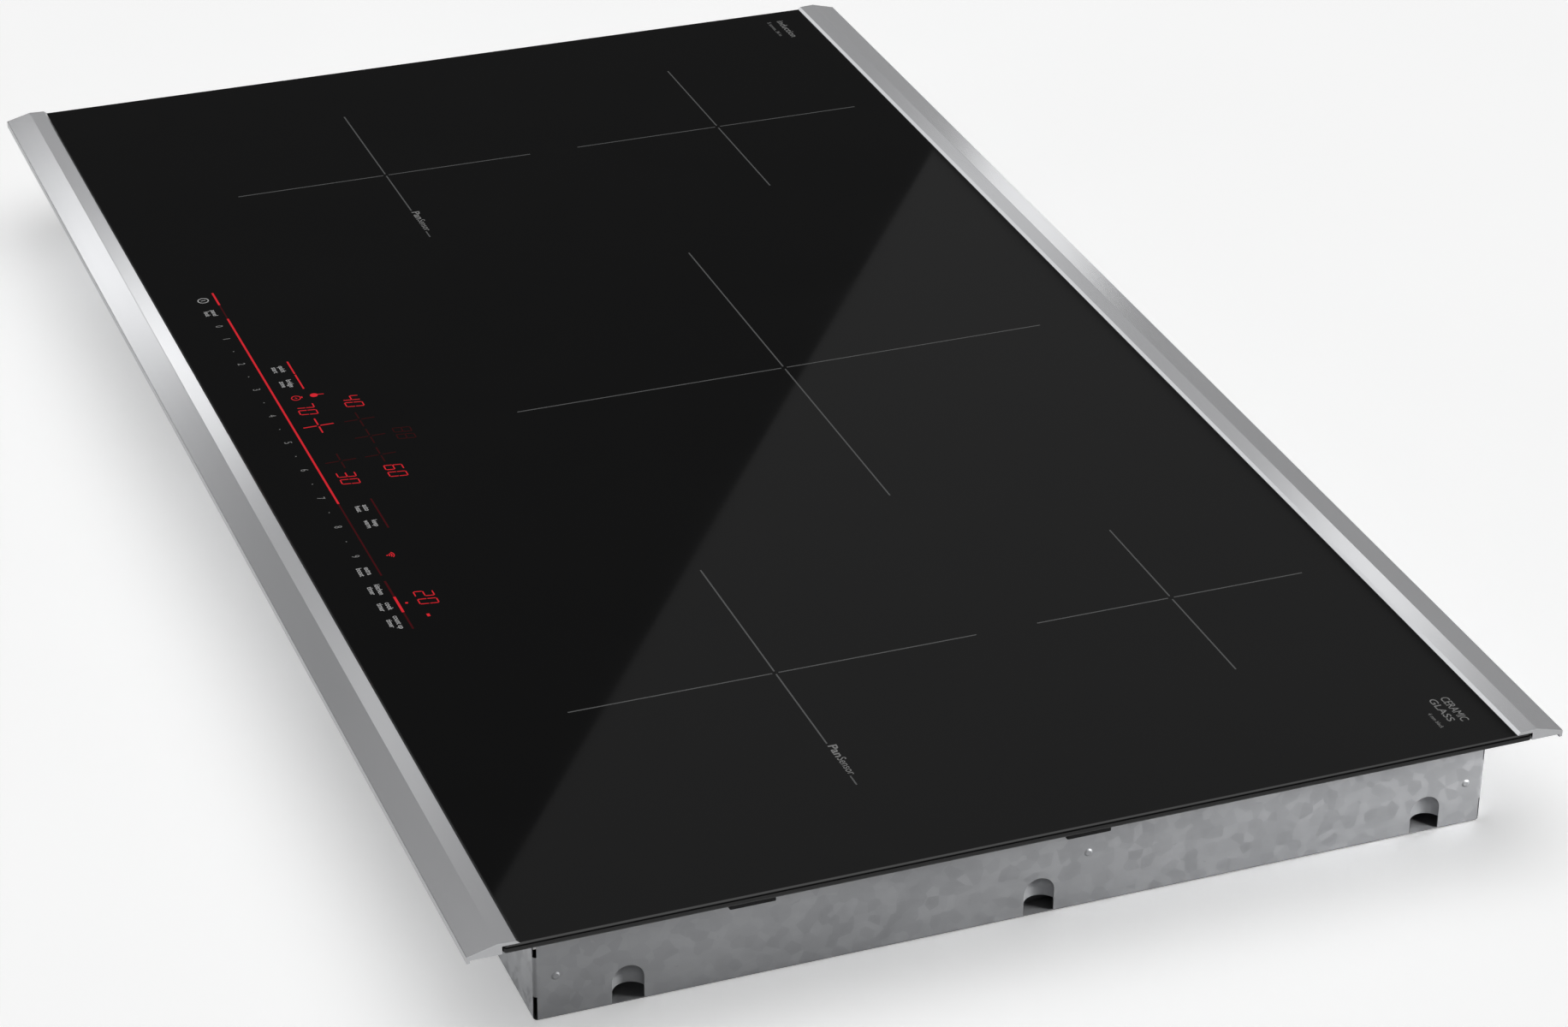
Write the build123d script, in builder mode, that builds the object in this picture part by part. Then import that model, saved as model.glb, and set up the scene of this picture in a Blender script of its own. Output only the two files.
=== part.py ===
from build123d import *
import math
import os

os.makedirs("parts", exist_ok=True)

# Five-zone built-in induction cooktop, 36 inch class. All lengths are millimetres.
# X runs left to right, Y from the user's side to the rear, Z up.
# The origin is the centre of the footprint, on the underside of the base tray.

# Overall envelope and the glass sheet
overall_length = 939.8
overall_depth = 541.3
glass_thickness = 4.0
glass_edge_radius = 1.6
glass_corner_radius = 2.0

# Heights of the main layers
sheet = 0.8
worktop_z = 59.5
gasket_thickness = 2.0
glass_z = worktop_z + gasket_thickness
glass_top_z = glass_z + glass_thickness

# Metal trims along the front and rear edges
trim_end_inset = 1.0
trim_width = 24.4
trim_ridge_in = 14.2
trim_rebate_in = 16.3
trim_outer_drop = 1.9
trim_ridge_rise = 1.8
trim_inner_rise = 1.4
trim_bevel = 1.5
trim_bevel_foot = 0.2
trim_ridge_rounding = 0.8
trim_edge_rounding = 0.4
trim_lip_width = 1.6
trim_lip_drop = 5.5
glass_side_gap = 0.3
glass_depth = overall_depth - 2 * (trim_rebate_in + glass_side_gap)

# Foam seal on the worktop
gasket_width = 8.0
gasket_outer_x = 464.0
gasket_outer_y = 264.0
pad_size = (4.0, 22.0)
pad_x = 466.6
pad_ys = (-137.8, 25.6)

# Base tray, folded from galvanised sheet
tray_half_length = 440.0
tray_front_y = -231.4
tray_rear_y = 248.4
tray_depth = tray_rear_y - tray_front_y
tray_mid_y = (tray_rear_y + tray_front_y) / 2
tray_top_z = worktop_z - 0.1
tray_corner_radius = 2.0
tray_edge_radius = 1.2
corner_slot_width = 2.2
corner_slot_low = 13.0
corner_slot_high = 34.4
lance_ys = (-186.8, 15.2, 217.6)
lance_width = 15.4
lance_slot_bottom = 1.0
lance_slot_height = 6.5
lance_trough = 4.8
lance_depth = 5.0
pip_places = ((-221.0, 22.7), (39.6, 28.9), (238.6, 23.1))
pip_radius = 2.5
pip_height = 0.4

# Floor grille under each fan: ring radius, slot count, slot length, slot width
fan_grille = ((12.0, 8, 8.0, 3.2), (24.0, 18, 11.0, 3.6))
vent_x = 300.0
vent_y = -196.0
vent_slot = (20.0, 4.0)
vent_pitch = (9.0, 26.0)
vent_count = (20, 2)
wall_vent_x = 240.0
wall_vent_z = 24.0
wall_vent_slot = (24.0, 4.0)
wall_vent_pitch = 9.0
wall_vent_count = 22

# Stiffening beads in the tray floor: x, y, length and turn in degrees
floor_beads = (
    (-300.0, -150.0, 220.0, 0.0),
    (300.0, -150.0, 220.0, 0.0),
    (-100.0, 10.0, 150.0, 90.0),
    (100.0, 10.0, 150.0, 90.0),
    (0.0, -190.0, 300.0, 0.0),
)
bead_width = 10.0
bead_rise = 1.8
bead_taper = 35.0

# Mounting frame under the glass, and its adhesive bead
frame_gap = 0.2
frame_skirt_drop = 12.0
frame_flange_half = (452.0, 252.0)
frame_flange_z = worktop_z + 0.1
bond_width = 6.0
tray_screw_xs = (-400.0, -200.0, 0.0, 200.0, 400.0)
tray_screw_z = 53.5
screw_shank = 1.65
screw_head = 3.6
screw_head_height = 2.0
screw_length = 6.0
cross_recess = (4.6, 1.0, 1.6)
board_screw_head = (3.0, 1.8)
board_screw_shank = (1.2, 5.0)
board_pilot = 1.25
board_hole = 1.7
board_boss = 4.0

# Cooking zones: name, centre and heated radius
zones = {
    "left_front": (-312.5, -76.8, 90.0),
    "left_rear": (-312.5, 133.1, 90.0),
    "centre": (0.0, 56.6, 152.5),
    "right_front": (296.7, -61.8, 105.0),
    "right_rear": (296.7, 148.1, 72.5),
}
mica_thickness = 0.8
winding_height = 4.8
litz_pitch = 4.4
carrier_thickness = 3.0
carrier_rim = 2.0
hub_outer = 14.0
hub_bore = 6.5
ferrite_height = 5.0
ferrite_width = 11.0
ferrite_end_gap = 5.0
plate_thickness = 1.5
plate_lip = 7.0
mica_z = glass_z - mica_thickness
winding_z = mica_z - 0.2 - winding_height
carrier_z = winding_z - carrier_thickness
ferrite_z = carrier_z - ferrite_height
plate_z = 44.0
plate_top_z = plate_z + plate_thickness
spring_radius = 4.0
spring_wire = 0.45

# Coil support plates: name, left and right edge, front and rear edge
plates = {
    "left": (-430.0, -173.0, -172.0, 240.0),
    "centre": (-158.0, 158.0, -106.0, 226.0),
    "right": (173.0, 430.0, -176.0, 240.0),
}
post_inset = 8.0
post_radius = 3.5
post_bore = (1.65, 8.0)
plate_hole = 2.1
plate_screw_shank = (1.6, 7.5)

# Lead from each coil: the direction it leaves the coil, in degrees from +X
lead_angles = {
    "left_front": 0.0,
    "left_rear": 225.0,
    "centre": 180.0,
    "right_front": 180.0,
    "right_rear": 315.0,
}
lead_radius = 2.0
lead_reach = 14.0
lead_bend = 9.0

# Electronics: a power module on each side, mirrored about X = 0
board_thickness = 1.6
board_z = 7.0
board_top_z = board_z + board_thickness
module_outer_x = 430.0
module_inner_x = 158.0
module_front_y = -118.0
module_rear_y = 112.0
module_wall = 2.0
module_height = 14.0
board_margin = 3.0
board_screw_inset = 10.0
heatsink_width = 46.0
heatsink_x = 285.0
heatsink_front_y = -92.0
heatsink_rear_y = 104.0
heatsink_height = 26.0
connector_height = 8.0
heatsink_fins = 9
heatsink_fin = 1.4
heatsink_base = 5.0
transistor_ys = (-70.0, -40.0, 0.0, 30.0, 70.0)
transistor = (5.0, 16.0, 21.0)
capacitor_x = 400.0
capacitor_ys = (-84.0, -52.0, -20.0, 12.0)
capacitor = (40.0, 22.0)
rectifier_x = 205.0
rectifier_ys = (20.0, -20.0)
rectifier = (32.0, 18.0)
box_part_height = 26.0
choke_x = 345.0
choke_ys = (-80.0, -40.0)
choke_radii = (14.0, 6.0)
can_places = ((215.0, 88.0), (190.0, 88.0))
can_radius = 10.0
round_part_height = 22.0
connector = (12.0, 14.0)
guide_wall = 1.2
guide_gap = 3.0

# Radial cooling fan of each module
fan_x = 250.0
fan_y = 178.0
fan_z = 2.8
fan_height = 31.0
fan_wall = 1.6
fan_scroll_small = 46.0
fan_scroll_large = 58.0
fan_outlet_y = -60.0
fan_inlet_radius = 30.0
impeller_radius = 40.0
motor_radius = 14.0
motor_height = 12.0
shaft_radius = 1.5
shaft_clearance = 0.05

# Control unit behind the front trim
control_x = (-206.0, 214.0)
control_y = (-224.0, -147.0)
control_z = 48.5
control_height = 12.4
control_wall = 1.8
control_board_rise = 3.5
display_size = (19.0, 11.0)
display_height = 6.5
display_places = (
    (-40.5, -200.6),
    (-40.5, -175.4),
    (41.5, -175.4),
    (41.5, -200.6),
    (1.5, -159.2),
    (173.3, -198.7),
)
slider_y = -213.2
slider_x = (-194.0, 198.0)

# Mains filter between the two modules
filter_x = (-92.0, 92.0)
filter_y = (30.0, 128.0)
filter_screw_inset = 5.0

# Mains entry in the rear wall
inlet_z = 16.5
inlet_hole_radius = 11.1
inlet_bore_radius = 8.0
inlet_length = 14.0
box_half_width = 52.0
box_front_y = 158.0
box_height = 31.5
box_wall = 1.0
terminal_x = -14.0
terminal_pitch = 18.0
terminal_poles = 3
terminal_depth = 24.0
terminal_height = 16.0


def save(builder, label):
    builder.part.label = label
    export_step(builder.part, f"parts/{label}.step")


def on_circle(centre, radius, degrees):
    turn = math.radians(degrees)
    return (centre[0] + radius * math.cos(turn), centre[1] + radius * math.sin(turn))


def span_sketch(x_low, x_high, y_low, y_high, radius=0.0):
    with Locations(((x_low + x_high) / 2, (y_low + y_high) / 2)):
        if radius:
            RectangleRounded(x_high - x_low, y_high - y_low, radius)
        else:
            Rectangle(x_high - x_low, y_high - y_low)


# ---------------------------------------------------------------- glass and trims

def make_glass():
    with BuildPart() as glass:
        with BuildSketch(Plane.XY.offset(glass_z)):
            RectangleRounded(overall_length, glass_depth, glass_corner_radius)
        extrude(amount=glass_thickness)
        side_edges = glass.edges().filter_by(Axis.Y).group_by(Axis.X)
        fillet(side_edges[0] + side_edges[-1], radius=glass_edge_radius)
    return glass


def make_trim(side):
    """An extruded wedge with a hanging outer lip; it laps over the long edge of the glass."""
    outer = side * overall_depth / 2
    inward = -side
    with BuildPart() as trim:
        end_x = -overall_length / 2 + trim_end_inset
        end_plane = Plane(origin=(end_x, 0, glass_top_z), x_dir=(0, 1, 0), z_dir=(1, 0, 0))
        with BuildSketch(end_plane):
            with BuildLine():
                Polyline(
                    (outer, -trim_lip_drop),
                    (outer, -trim_outer_drop),
                    (outer + inward * trim_ridge_in, trim_ridge_rise),
                    (outer + inward * (trim_width - trim_bevel), trim_inner_rise),
                    (outer + inward * trim_width, trim_bevel_foot),
                    (outer + inward * trim_width, 0),
                    (outer + inward * trim_rebate_in, 0),
                    (outer + inward * trim_rebate_in, -glass_thickness),
                    (outer + inward * trim_lip_width, -glass_thickness),
                    (outer + inward * trim_lip_width, -trim_lip_drop),
                    close=True,
                )
            make_face()
        extrude(amount=overall_length - 2 * trim_end_inset)
        long_edges = trim.edges().filter_by(Axis.X)
        fillet(long_edges.group_by(Axis.Z)[-1], radius=trim_ridge_rounding)
        outer_face = trim.faces().sort_by(Axis.Y)[-1 if side > 0 else 0]
        fillet(outer_face.edges().filter_by(Axis.X).sort_by(Axis.Z)[-1:], radius=trim_edge_rounding)
    return trim


# ---------------------------------------------------------------- seal

def make_gasket():
    """Four strips of closed-cell foam, laid end to end round the cut-out."""
    inner_x = gasket_outer_x - gasket_width
    inner_y = gasket_outer_y - gasket_width
    with BuildPart() as gasket:
        with BuildSketch(Plane.XY.offset(worktop_z)):
            with Locations((0, inner_y + gasket_width / 2), (0, -inner_y - gasket_width / 2)):
                Rectangle(2 * gasket_outer_x, gasket_width)
            with Locations((inner_x + gasket_width / 2, 0), (-inner_x - gasket_width / 2, 0)):
                Rectangle(gasket_width, 2 * inner_y - 0.4)
        extrude(amount=gasket_thickness)
    return gasket


def make_edge_pads():
    with BuildPart() as pads:
        with BuildSketch(Plane.XY.offset(worktop_z)):
            for side in (-1, 1):
                with Locations(*[(side * pad_x, y) for y in pad_ys]):
                    RectangleRounded(*pad_size, 0.8)
        extrude(amount=gasket_thickness)
    return pads


# ---------------------------------------------------------------- frame and tray

def frame_outline(inset):
    half = tray_half_length - sheet - frame_gap - inset
    with Locations((0, tray_mid_y)):
        Rectangle(2 * half, tray_depth - 2 * (sheet + frame_gap + inset))


def wall_hole_places():
    return [(x, tray_screw_z) for x in tray_screw_xs]


def make_mounting_frame():
    """Angle-section frame: a flange bonded under the glass and a skirt inside the tray."""
    with BuildPart() as frame:
        with BuildSketch(Plane.XY.offset(frame_flange_z)):
            Rectangle(2 * frame_flange_half[0], 2 * frame_flange_half[1])
            with BuildSketch(mode=Mode.PRIVATE) as opening:
                frame_outline(sheet)
            add(opening.sketch, mode=Mode.SUBTRACT)
        extrude(amount=sheet)
        with BuildSketch(Plane.XY.offset(frame_flange_z)):
            frame_outline(0)
            with BuildSketch(mode=Mode.PRIVATE) as skirt_inner:
                frame_outline(sheet)
            add(skirt_inner.sketch, mode=Mode.SUBTRACT)
        extrude(amount=-frame_skirt_drop)
        with BuildSketch(Plane.XZ.offset(-tray_rear_y - 1)):
            with Locations(*wall_hole_places()):
                Circle(screw_shank + 0.05)
        extrude(amount=tray_depth + 2, mode=Mode.SUBTRACT)
    return frame


def make_bond():
    """Silicone bead between the frame's flange and the underside of the glass."""
    outer_x = frame_flange_half[0] - 1
    outer_y = frame_flange_half[1] - 1
    with BuildPart() as bond:
        with BuildSketch(Plane.XY.offset(frame_flange_z + sheet)):
            Rectangle(2 * outer_x, 2 * outer_y)
            Rectangle(2 * (outer_x - bond_width), 2 * (outer_y - bond_width), mode=Mode.SUBTRACT)
        extrude(amount=glass_z - frame_flange_z - sheet)
    return bond


def lance_hood(side, y):
    """A hollow pressed inwards above each clamp slot: a short upright trough under a quarter ball."""
    rim = lance_width / 2
    ball = (rim ** 2 + lance_depth ** 2) / (2 * lance_depth)
    centre_x = side * (tray_half_length + ball - lance_depth)
    slot_top = lance_slot_bottom + lance_slot_height
    crown_z = slot_top + lance_trough
    reach = 2 * ball
    dome_at = Pos(centre_x, y, crown_z)
    trough_at = Pos(centre_x, y, slot_top + lance_trough / 2)
    keep_x = side * (tray_half_length - reach / 2)
    keep_dome = Pos(keep_x, y, crown_z + reach / 2) * Box(reach, 2 * reach, reach)
    keep_trough = Pos(keep_x, y, slot_top + lance_trough / 2) * Box(reach, 2 * reach, lance_trough)
    cut_dome = Pos(side * tray_half_length, y, crown_z + reach / 2) * Box(2 * reach, 2 * reach, reach)
    dome = dome_at * (Sphere(ball + sheet) - Sphere(ball)) & keep_dome
    trough = trough_at * (Cylinder(ball + sheet, lance_trough) - Cylinder(ball, lance_trough)) & keep_trough
    hollow = (dome_at * Sphere(ball) & cut_dome) + trough_at * Cylinder(ball, lance_trough)
    return dome + trough, hollow


def press_bead(x, y, length, turn):
    """A stiffening bead: the floor stands up by its own thickness and a little more."""
    with BuildSketch(Plane.XY.offset(sheet)) as crown:
        with Locations((x, y)):
            SlotOverall(length, bead_width, rotation=turn)
    extrude(crown.sketch, amount=bead_rise, taper=bead_taper)
    with BuildSketch(Plane.XY) as hollow:
        with Locations((x, y)):
            SlotOverall(length - 2 * sheet, bead_width - 2 * sheet, rotation=turn)
    extrude(hollow.sketch, amount=bead_rise, taper=bead_taper, mode=Mode.SUBTRACT)


def tray_vents(side):
    """Inlet grille under the fan, and outlet slots at the front of the module."""
    with BuildSketch(Plane.XY) as floor_slots:
        with Locations((side * fan_x, fan_y)):
            for ring, count, length, width in fan_grille:
                with PolarLocations(ring, count):
                    SlotOverall(length, width)
        with Locations((side * vent_x, vent_y)):
            with GridLocations(*vent_pitch, *vent_count):
                SlotOverall(*vent_slot, rotation=90)
    extrude(floor_slots.sketch, amount=sheet, mode=Mode.SUBTRACT)
    with BuildSketch(Plane.XZ.offset(-tray_front_y)) as wall_slots:
        with Locations((side * wall_vent_x, wall_vent_z)):
            with GridLocations(wall_vent_pitch, 1, wall_vent_count, 1):
                SlotOverall(*wall_vent_slot, rotation=90)
    extrude(wall_slots.sketch, amount=sheet * 2, both=True, mode=Mode.SUBTRACT)


def make_tray():
    hoods = [lance_hood(side, y) for side in (-1, 1) for y in lance_ys]
    with BuildPart() as tray:
        with BuildSketch():
            with Locations((0, tray_mid_y)):
                RectangleRounded(2 * tray_half_length, tray_depth, tray_corner_radius)
        extrude(amount=tray_top_z)
        fillet(tray.faces().sort_by(Axis.Z)[0].edges(), radius=tray_edge_radius)
        with BuildSketch(Plane.XY.offset(sheet)):
            with Locations((0, tray_mid_y)):
                inner_length = 2 * (tray_half_length - sheet)
                RectangleRounded(inner_length, tray_depth - 2 * sheet, tray_corner_radius - sheet)
        extrude(amount=tray_top_z, mode=Mode.SUBTRACT)
        for shell, hollow in hoods:
            add(hollow, mode=Mode.SUBTRACT)
            add(shell)
        for side in (-1, 1):
            with BuildSketch(Plane.YZ.offset(side * tray_half_length)):
                slot_mid = lance_slot_bottom + lance_slot_height / 2
                with Locations(*[(y, slot_mid) for y in lance_ys]):
                    Rectangle(lance_width, lance_slot_height)
            extrude(amount=2 * sheet, both=True, mode=Mode.SUBTRACT)
            for y, z in pip_places:
                outward = Plane(origin=(side * (tray_half_length - 0.2), y, z), z_dir=(side, 0, 0))
                with Locations(outward):
                    on_wall = (Align.CENTER, Align.CENTER, Align.MIN)
                    Cone(pip_radius, pip_radius * 0.5, pip_height + 0.2, align=on_wall)
            tray_vents(side)
        for bead in floor_beads:
            press_bead(*bead)
        with BuildSketch(Plane.XZ.offset(-tray_rear_y - 1)):
            with Locations(*wall_hole_places()):
                Circle(screw_shank + 0.4)
        extrude(amount=tray_depth + 2, mode=Mode.SUBTRACT)
        with BuildSketch(Plane.XZ.offset(-tray_rear_y)):
            with Locations((0, inlet_z)):
                Circle(inlet_hole_radius)
        extrude(amount=2 * sheet, both=True, mode=Mode.SUBTRACT)
        cut_corner_slots()
    return tray


def cut_corner_slots():
    """The seam at each corner is open at its foot and its head; the sheet is joined between."""
    inset = tray_corner_radius * (1 - math.sqrt(0.5)) + sheet
    for side_x in (-1, 1):
        for y, side_y in ((tray_front_y, -1), (tray_rear_y, 1)):
            x = side_x * (tray_half_length - inset)
            turn = 45 if side_x * side_y > 0 else -45
            heights = ((sheet, corner_slot_low), (corner_slot_high, tray_top_z + 1))
            for low, high in heights:
                with Locations(Location((x, y - side_y * inset, low), (0, 0, turn))):
                    Box(6, corner_slot_width, high - low, mode=Mode.SUBTRACT,
                        align=(Align.CENTER, Align.CENTER, Align.MIN))


def make_tray_screws():
    with BuildPart() as screws:
        for y, side in ((tray_front_y, -1), (tray_rear_y, 1)):
            for x, z in wall_hole_places():
                head_plane = Plane(origin=(x, y, z), z_dir=(0, side, 0))
                with Locations(head_plane):
                    Cylinder(screw_head, screw_head_height, align=(Align.CENTER, Align.CENTER, Align.MIN))
                    Cylinder(screw_shank, screw_length, align=(Align.CENTER, Align.CENTER, Align.MAX))
                with Locations(head_plane.offset(screw_head_height)):
                    Box(*cross_recess, mode=Mode.SUBTRACT)
                    Box(cross_recess[1], cross_recess[0], cross_recess[2], mode=Mode.SUBTRACT)
    return screws


# ---------------------------------------------------------------- heating coils

def ferrite_count(radius):
    return 12 if radius > 120 else 8


def coil_inner(radius):
    return hub_outer + 2.0 if radius < 100 else hub_outer + 8.0


def make_coil_carrier(centre, radius):
    """Spoked plastic dish: a hub, a rim and windows between the ferrite bars."""
    count = ferrite_count(radius)
    with BuildPart() as carrier:
        with BuildSketch(Plane.XY.offset(carrier_z)):
            with Locations(centre):
                Circle(radius)
                Circle(hub_bore, mode=Mode.SUBTRACT)
                with PolarLocations((radius + hub_outer) / 2, count, start_angle=180 / count):
                    SlotOverall((radius - hub_outer) * 0.62, ferrite_width * 0.8, mode=Mode.SUBTRACT)
        extrude(amount=carrier_thickness)
        with BuildSketch(Plane.XY.offset(winding_z)):
            with Locations(centre):
                Circle(radius)
                Circle(radius - carrier_rim, mode=Mode.SUBTRACT)
                Circle(hub_outer)
                Circle(hub_bore, mode=Mode.SUBTRACT)
        extrude(amount=winding_height)
    return carrier


def make_winding(centre, radius):
    """Flat pancake of litz wire, its turns showing as round ridges on the upper face."""
    low = coil_inner(radius)
    turns = int((radius - carrier_rim - 0.6 - low) / litz_pitch)
    ridge = litz_pitch / 2
    shoulder = winding_height - ridge * 0.5
    with BuildPart() as winding:
        section = Plane(origin=(centre[0], centre[1], winding_z), x_dir=(1, 0, 0), z_dir=(0, -1, 0))
        with BuildSketch(section):
            with BuildLine():
                high = low + turns * litz_pitch
                Polyline((low, shoulder), (low, 0), (high, 0), (high, shoulder))
                for turn in range(turns):
                    start = low + turn * litz_pitch
                    crown = (start + ridge, winding_height)
                    ThreePointArc((start, shoulder), crown, (start + litz_pitch, shoulder))
            make_face()
        revolve(axis=Axis((centre[0], centre[1], 0), (0, 0, 1)))
    return winding


def make_mica_disc(centre, radius):
    with BuildPart() as mica:
        with BuildSketch(Plane.XY.offset(mica_z)):
            with Locations(centre):
                Circle(radius + 1.5)
                Circle(hub_bore, mode=Mode.SUBTRACT)
        extrude(amount=mica_thickness - 0.05)
    return mica


def make_ferrites():
    """Radial ferrite bars, cemented under every coil carrier."""
    with BuildPart() as ferrites:
        for x, y, radius in zones.values():
            count = ferrite_count(radius)
            low = coil_inner(radius) + 4 if count == 8 else coil_inner(radius) + 16
            high = radius - ferrite_end_gap
            with BuildSketch(Plane.XY.offset(ferrite_z)):
                with Locations((x, y)):
                    with PolarLocations((low + high) / 2, count):
                        Rectangle(high - low, ferrite_width)
            extrude(amount=ferrite_height)
    return ferrites


def make_sensors():
    """Sprung temperature probes at the centre of each coil, pressed against the glass."""
    with BuildPart() as sensors:
        for x, y, _ in zones.values():
            with BuildSketch(Plane.XY.offset(carrier_z)):
                with Locations((x, y)):
                    Circle(hub_bore - 1.5)
            extrude(amount=glass_z - carrier_z - 0.1)
            with BuildSketch(Plane.XY.offset(carrier_z - 4)):
                with Locations((x, y)):
                    Circle(hub_bore + 1.5)
            extrude(amount=4)
    return sensors


def spring_places(centre, radius):
    """Three places round the coil, each midway between two ferrite bars."""
    count = ferrite_count(radius)
    gaps = (0, 4, 8) if count == 12 else (0, 3, 5)
    return [on_circle(centre, radius - 12, (gap + 0.5) * 360 / count) for gap in gaps]


def make_springs():
    """Compression springs that lift each coil against the glass."""
    gap = carrier_z - plate_top_z
    height = gap - 2 * spring_wire - 0.1
    with BuildPart() as springs:
        with BuildPart(mode=Mode.PRIVATE) as one:
            with BuildLine():
                coil_line = Helix(pitch=height / 3, height=height, radius=spring_radius)
            with BuildSketch(Plane(origin=coil_line @ 0, z_dir=coil_line % 0)):
                Circle(spring_wire)
            sweep()
        for x, y, radius in zones.values():
            for place in spring_places((x, y), radius):
                with Locations((place[0], place[1], plate_top_z + spring_wire + 0.05)):
                    add(one.part)
    return springs


def zone_plate(name):
    return name.split("_")[0]


def lead_place(name):
    x, y, radius = zones[name]
    return on_circle((x, y), radius + lead_reach, lead_angles[name])


def post_places(name):
    x_low, x_high, y_low, y_high = plates[name]
    xs = (x_low + post_inset, x_high - post_inset)
    ys = (y_low + post_inset, y_high - post_inset)
    return [(x, y) for x in xs for y in ys]


def make_support_plate(name):
    """Aluminium sheet that carries the coils of one column and screens the boards below."""
    x_low, x_high, y_low, y_high = plates[name]
    with BuildPart() as plate:
        with BuildSketch(Plane.XY.offset(plate_z)):
            span_sketch(x_low, x_high, y_low, y_high, 4)
        extrude(amount=plate_thickness)
        with BuildSketch(Plane.XY.offset(plate_z)):
            for y in (y_low + plate_thickness / 2, y_high - plate_thickness / 2):
                with Locations(((x_low + x_high) / 2, y)):
                    Rectangle(x_high - x_low - 40, plate_thickness)
        extrude(amount=-plate_lip)
        with BuildSketch(Plane.XY.offset(plate_z)):
            for zone, (x, y, radius) in zones.items():
                if zone_plate(zone) == name:
                    with Locations((x, y)):
                        Circle(hub_outer)
                        with PolarLocations(radius * 0.55, 6, start_angle=30):
                            SlotOverall(radius * 0.36, 8, rotation=90)
                    if name != "centre":
                        with Locations(lead_place(zone)):
                            Circle(lead_radius + 4)
            with Locations(*post_places(name)):
                Circle(plate_hole)
        extrude(amount=plate_thickness, mode=Mode.SUBTRACT)
    return plate


def make_plate_posts():
    with BuildPart() as posts:
        with BuildSketch(Plane.XY.offset(sheet)):
            for name in plates:
                with Locations(*post_places(name)):
                    RegularPolygon(post_radius, 6)
        extrude(amount=plate_z - sheet)
        with BuildSketch(Plane.XY.offset(plate_z)):
            for name in plates:
                with Locations(*post_places(name)):
                    Circle(post_bore[0])
        extrude(amount=-post_bore[1], mode=Mode.SUBTRACT)
    return posts


def make_plate_screws():
    with BuildPart() as screws:
        with BuildSketch(Plane.XY.offset(plate_top_z)):
            for name in plates:
                with Locations(*post_places(name)):
                    Circle(screw_head)
        extrude(amount=screw_head_height)
        fillet(screws.faces().group_by(Axis.Z)[-1].edges(), radius=0.8)
        with BuildSketch(Plane.XY.offset(plate_top_z)):
            for name in plates:
                with Locations(*post_places(name)):
                    Circle(plate_screw_shank[0])
        extrude(amount=-plate_screw_shank[1])
    return screws


def make_coil_leads():
    """Sleeved litz pairs, out of each coil and down to its connector on the board."""
    with BuildPart() as leads:
        for name, (x, y, radius) in zones.items():
            level = carrier_z - lead_radius - 0.2
            start = on_circle((x, y), radius - ferrite_end_gap + 0.5, lead_angles[name])
            turn = lead_place(name)
            with BuildLine():
                path = FilletPolyline(
                    (start[0], start[1], level),
                    (turn[0], turn[1], level),
                    (turn[0], turn[1], board_top_z + connector_height),
                    radius=lead_bend,
                )
            with BuildSketch(Plane(origin=path @ 0, z_dir=path % 0)):
                Circle(lead_radius)
            sweep(path=path)
    return leads


# ---------------------------------------------------------------- power modules

def make_module_carrier(side):
    """Shallow plastic dish that holds one power board clear of the tray floor."""
    x_low, x_high = sorted((side * module_inner_x, side * module_outer_x))
    with BuildPart() as carrier:
        with BuildSketch(Plane.XY.offset(sheet)):
            span_sketch(x_low, x_high, module_front_y, module_rear_y, 5)
        extrude(amount=module_height)
        with BuildSketch(Plane.XY.offset(sheet + module_wall)):
            span_sketch(x_low + module_wall, x_high - module_wall,
                        module_front_y + module_wall, module_rear_y - module_wall, 3)
        extrude(amount=module_height, mode=Mode.SUBTRACT)
        with BuildSketch(Plane.XY.offset(sheet + module_wall)):
            with Locations(*board_screw_places(side)):
                Circle(board_boss)
        extrude(amount=board_z - sheet - module_wall)
        with BuildSketch(Plane.XY.offset(board_z)):
            with Locations(*board_screw_places(side)):
                Circle(board_pilot)
        extrude(amount=-4, mode=Mode.SUBTRACT)
    return carrier


def board_screw_places(side):
    xs = (side * (module_inner_x + board_screw_inset), side * (module_outer_x - board_screw_inset))
    ys = (module_front_y + board_screw_inset, module_rear_y - board_screw_inset)
    return [(x, y) for x in xs for y in ys]


def make_power_board(side):
    x_low, x_high = sorted((side * (module_inner_x + board_margin), side * (module_outer_x - board_margin)))
    with BuildPart() as board:
        with BuildSketch(Plane.XY.offset(board_z)):
            span_sketch(x_low, x_high, module_front_y + board_margin, module_rear_y - board_margin, 2)
            with Locations(*board_screw_places(side)):
                Circle(board_hole, mode=Mode.SUBTRACT)
        extrude(amount=board_thickness)
    return board


def make_heatsink(side):
    """Finned aluminium extrusion, its fins along the air stream."""
    pitch = (heatsink_width - heatsink_fin) / (heatsink_fins - 1)
    depth = heatsink_rear_y - heatsink_front_y
    middle_y = (heatsink_rear_y + heatsink_front_y) / 2
    with BuildPart() as heatsink:
        with BuildSketch(Plane.XY.offset(board_top_z)):
            with Locations((side * heatsink_x, middle_y)):
                Rectangle(heatsink_width, depth)
        extrude(amount=heatsink_base)
        with BuildSketch(Plane.XY.offset(board_top_z + heatsink_base)):
            with Locations((side * heatsink_x, middle_y)):
                with GridLocations(pitch, 1, heatsink_fins, 1):
                    Rectangle(heatsink_fin, depth)
        extrude(amount=heatsink_height - heatsink_base)
    return heatsink


def module_lead_places(side):
    return [lead_place(name) for name in zones if lead_place(name)[0] * side > 0]


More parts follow.
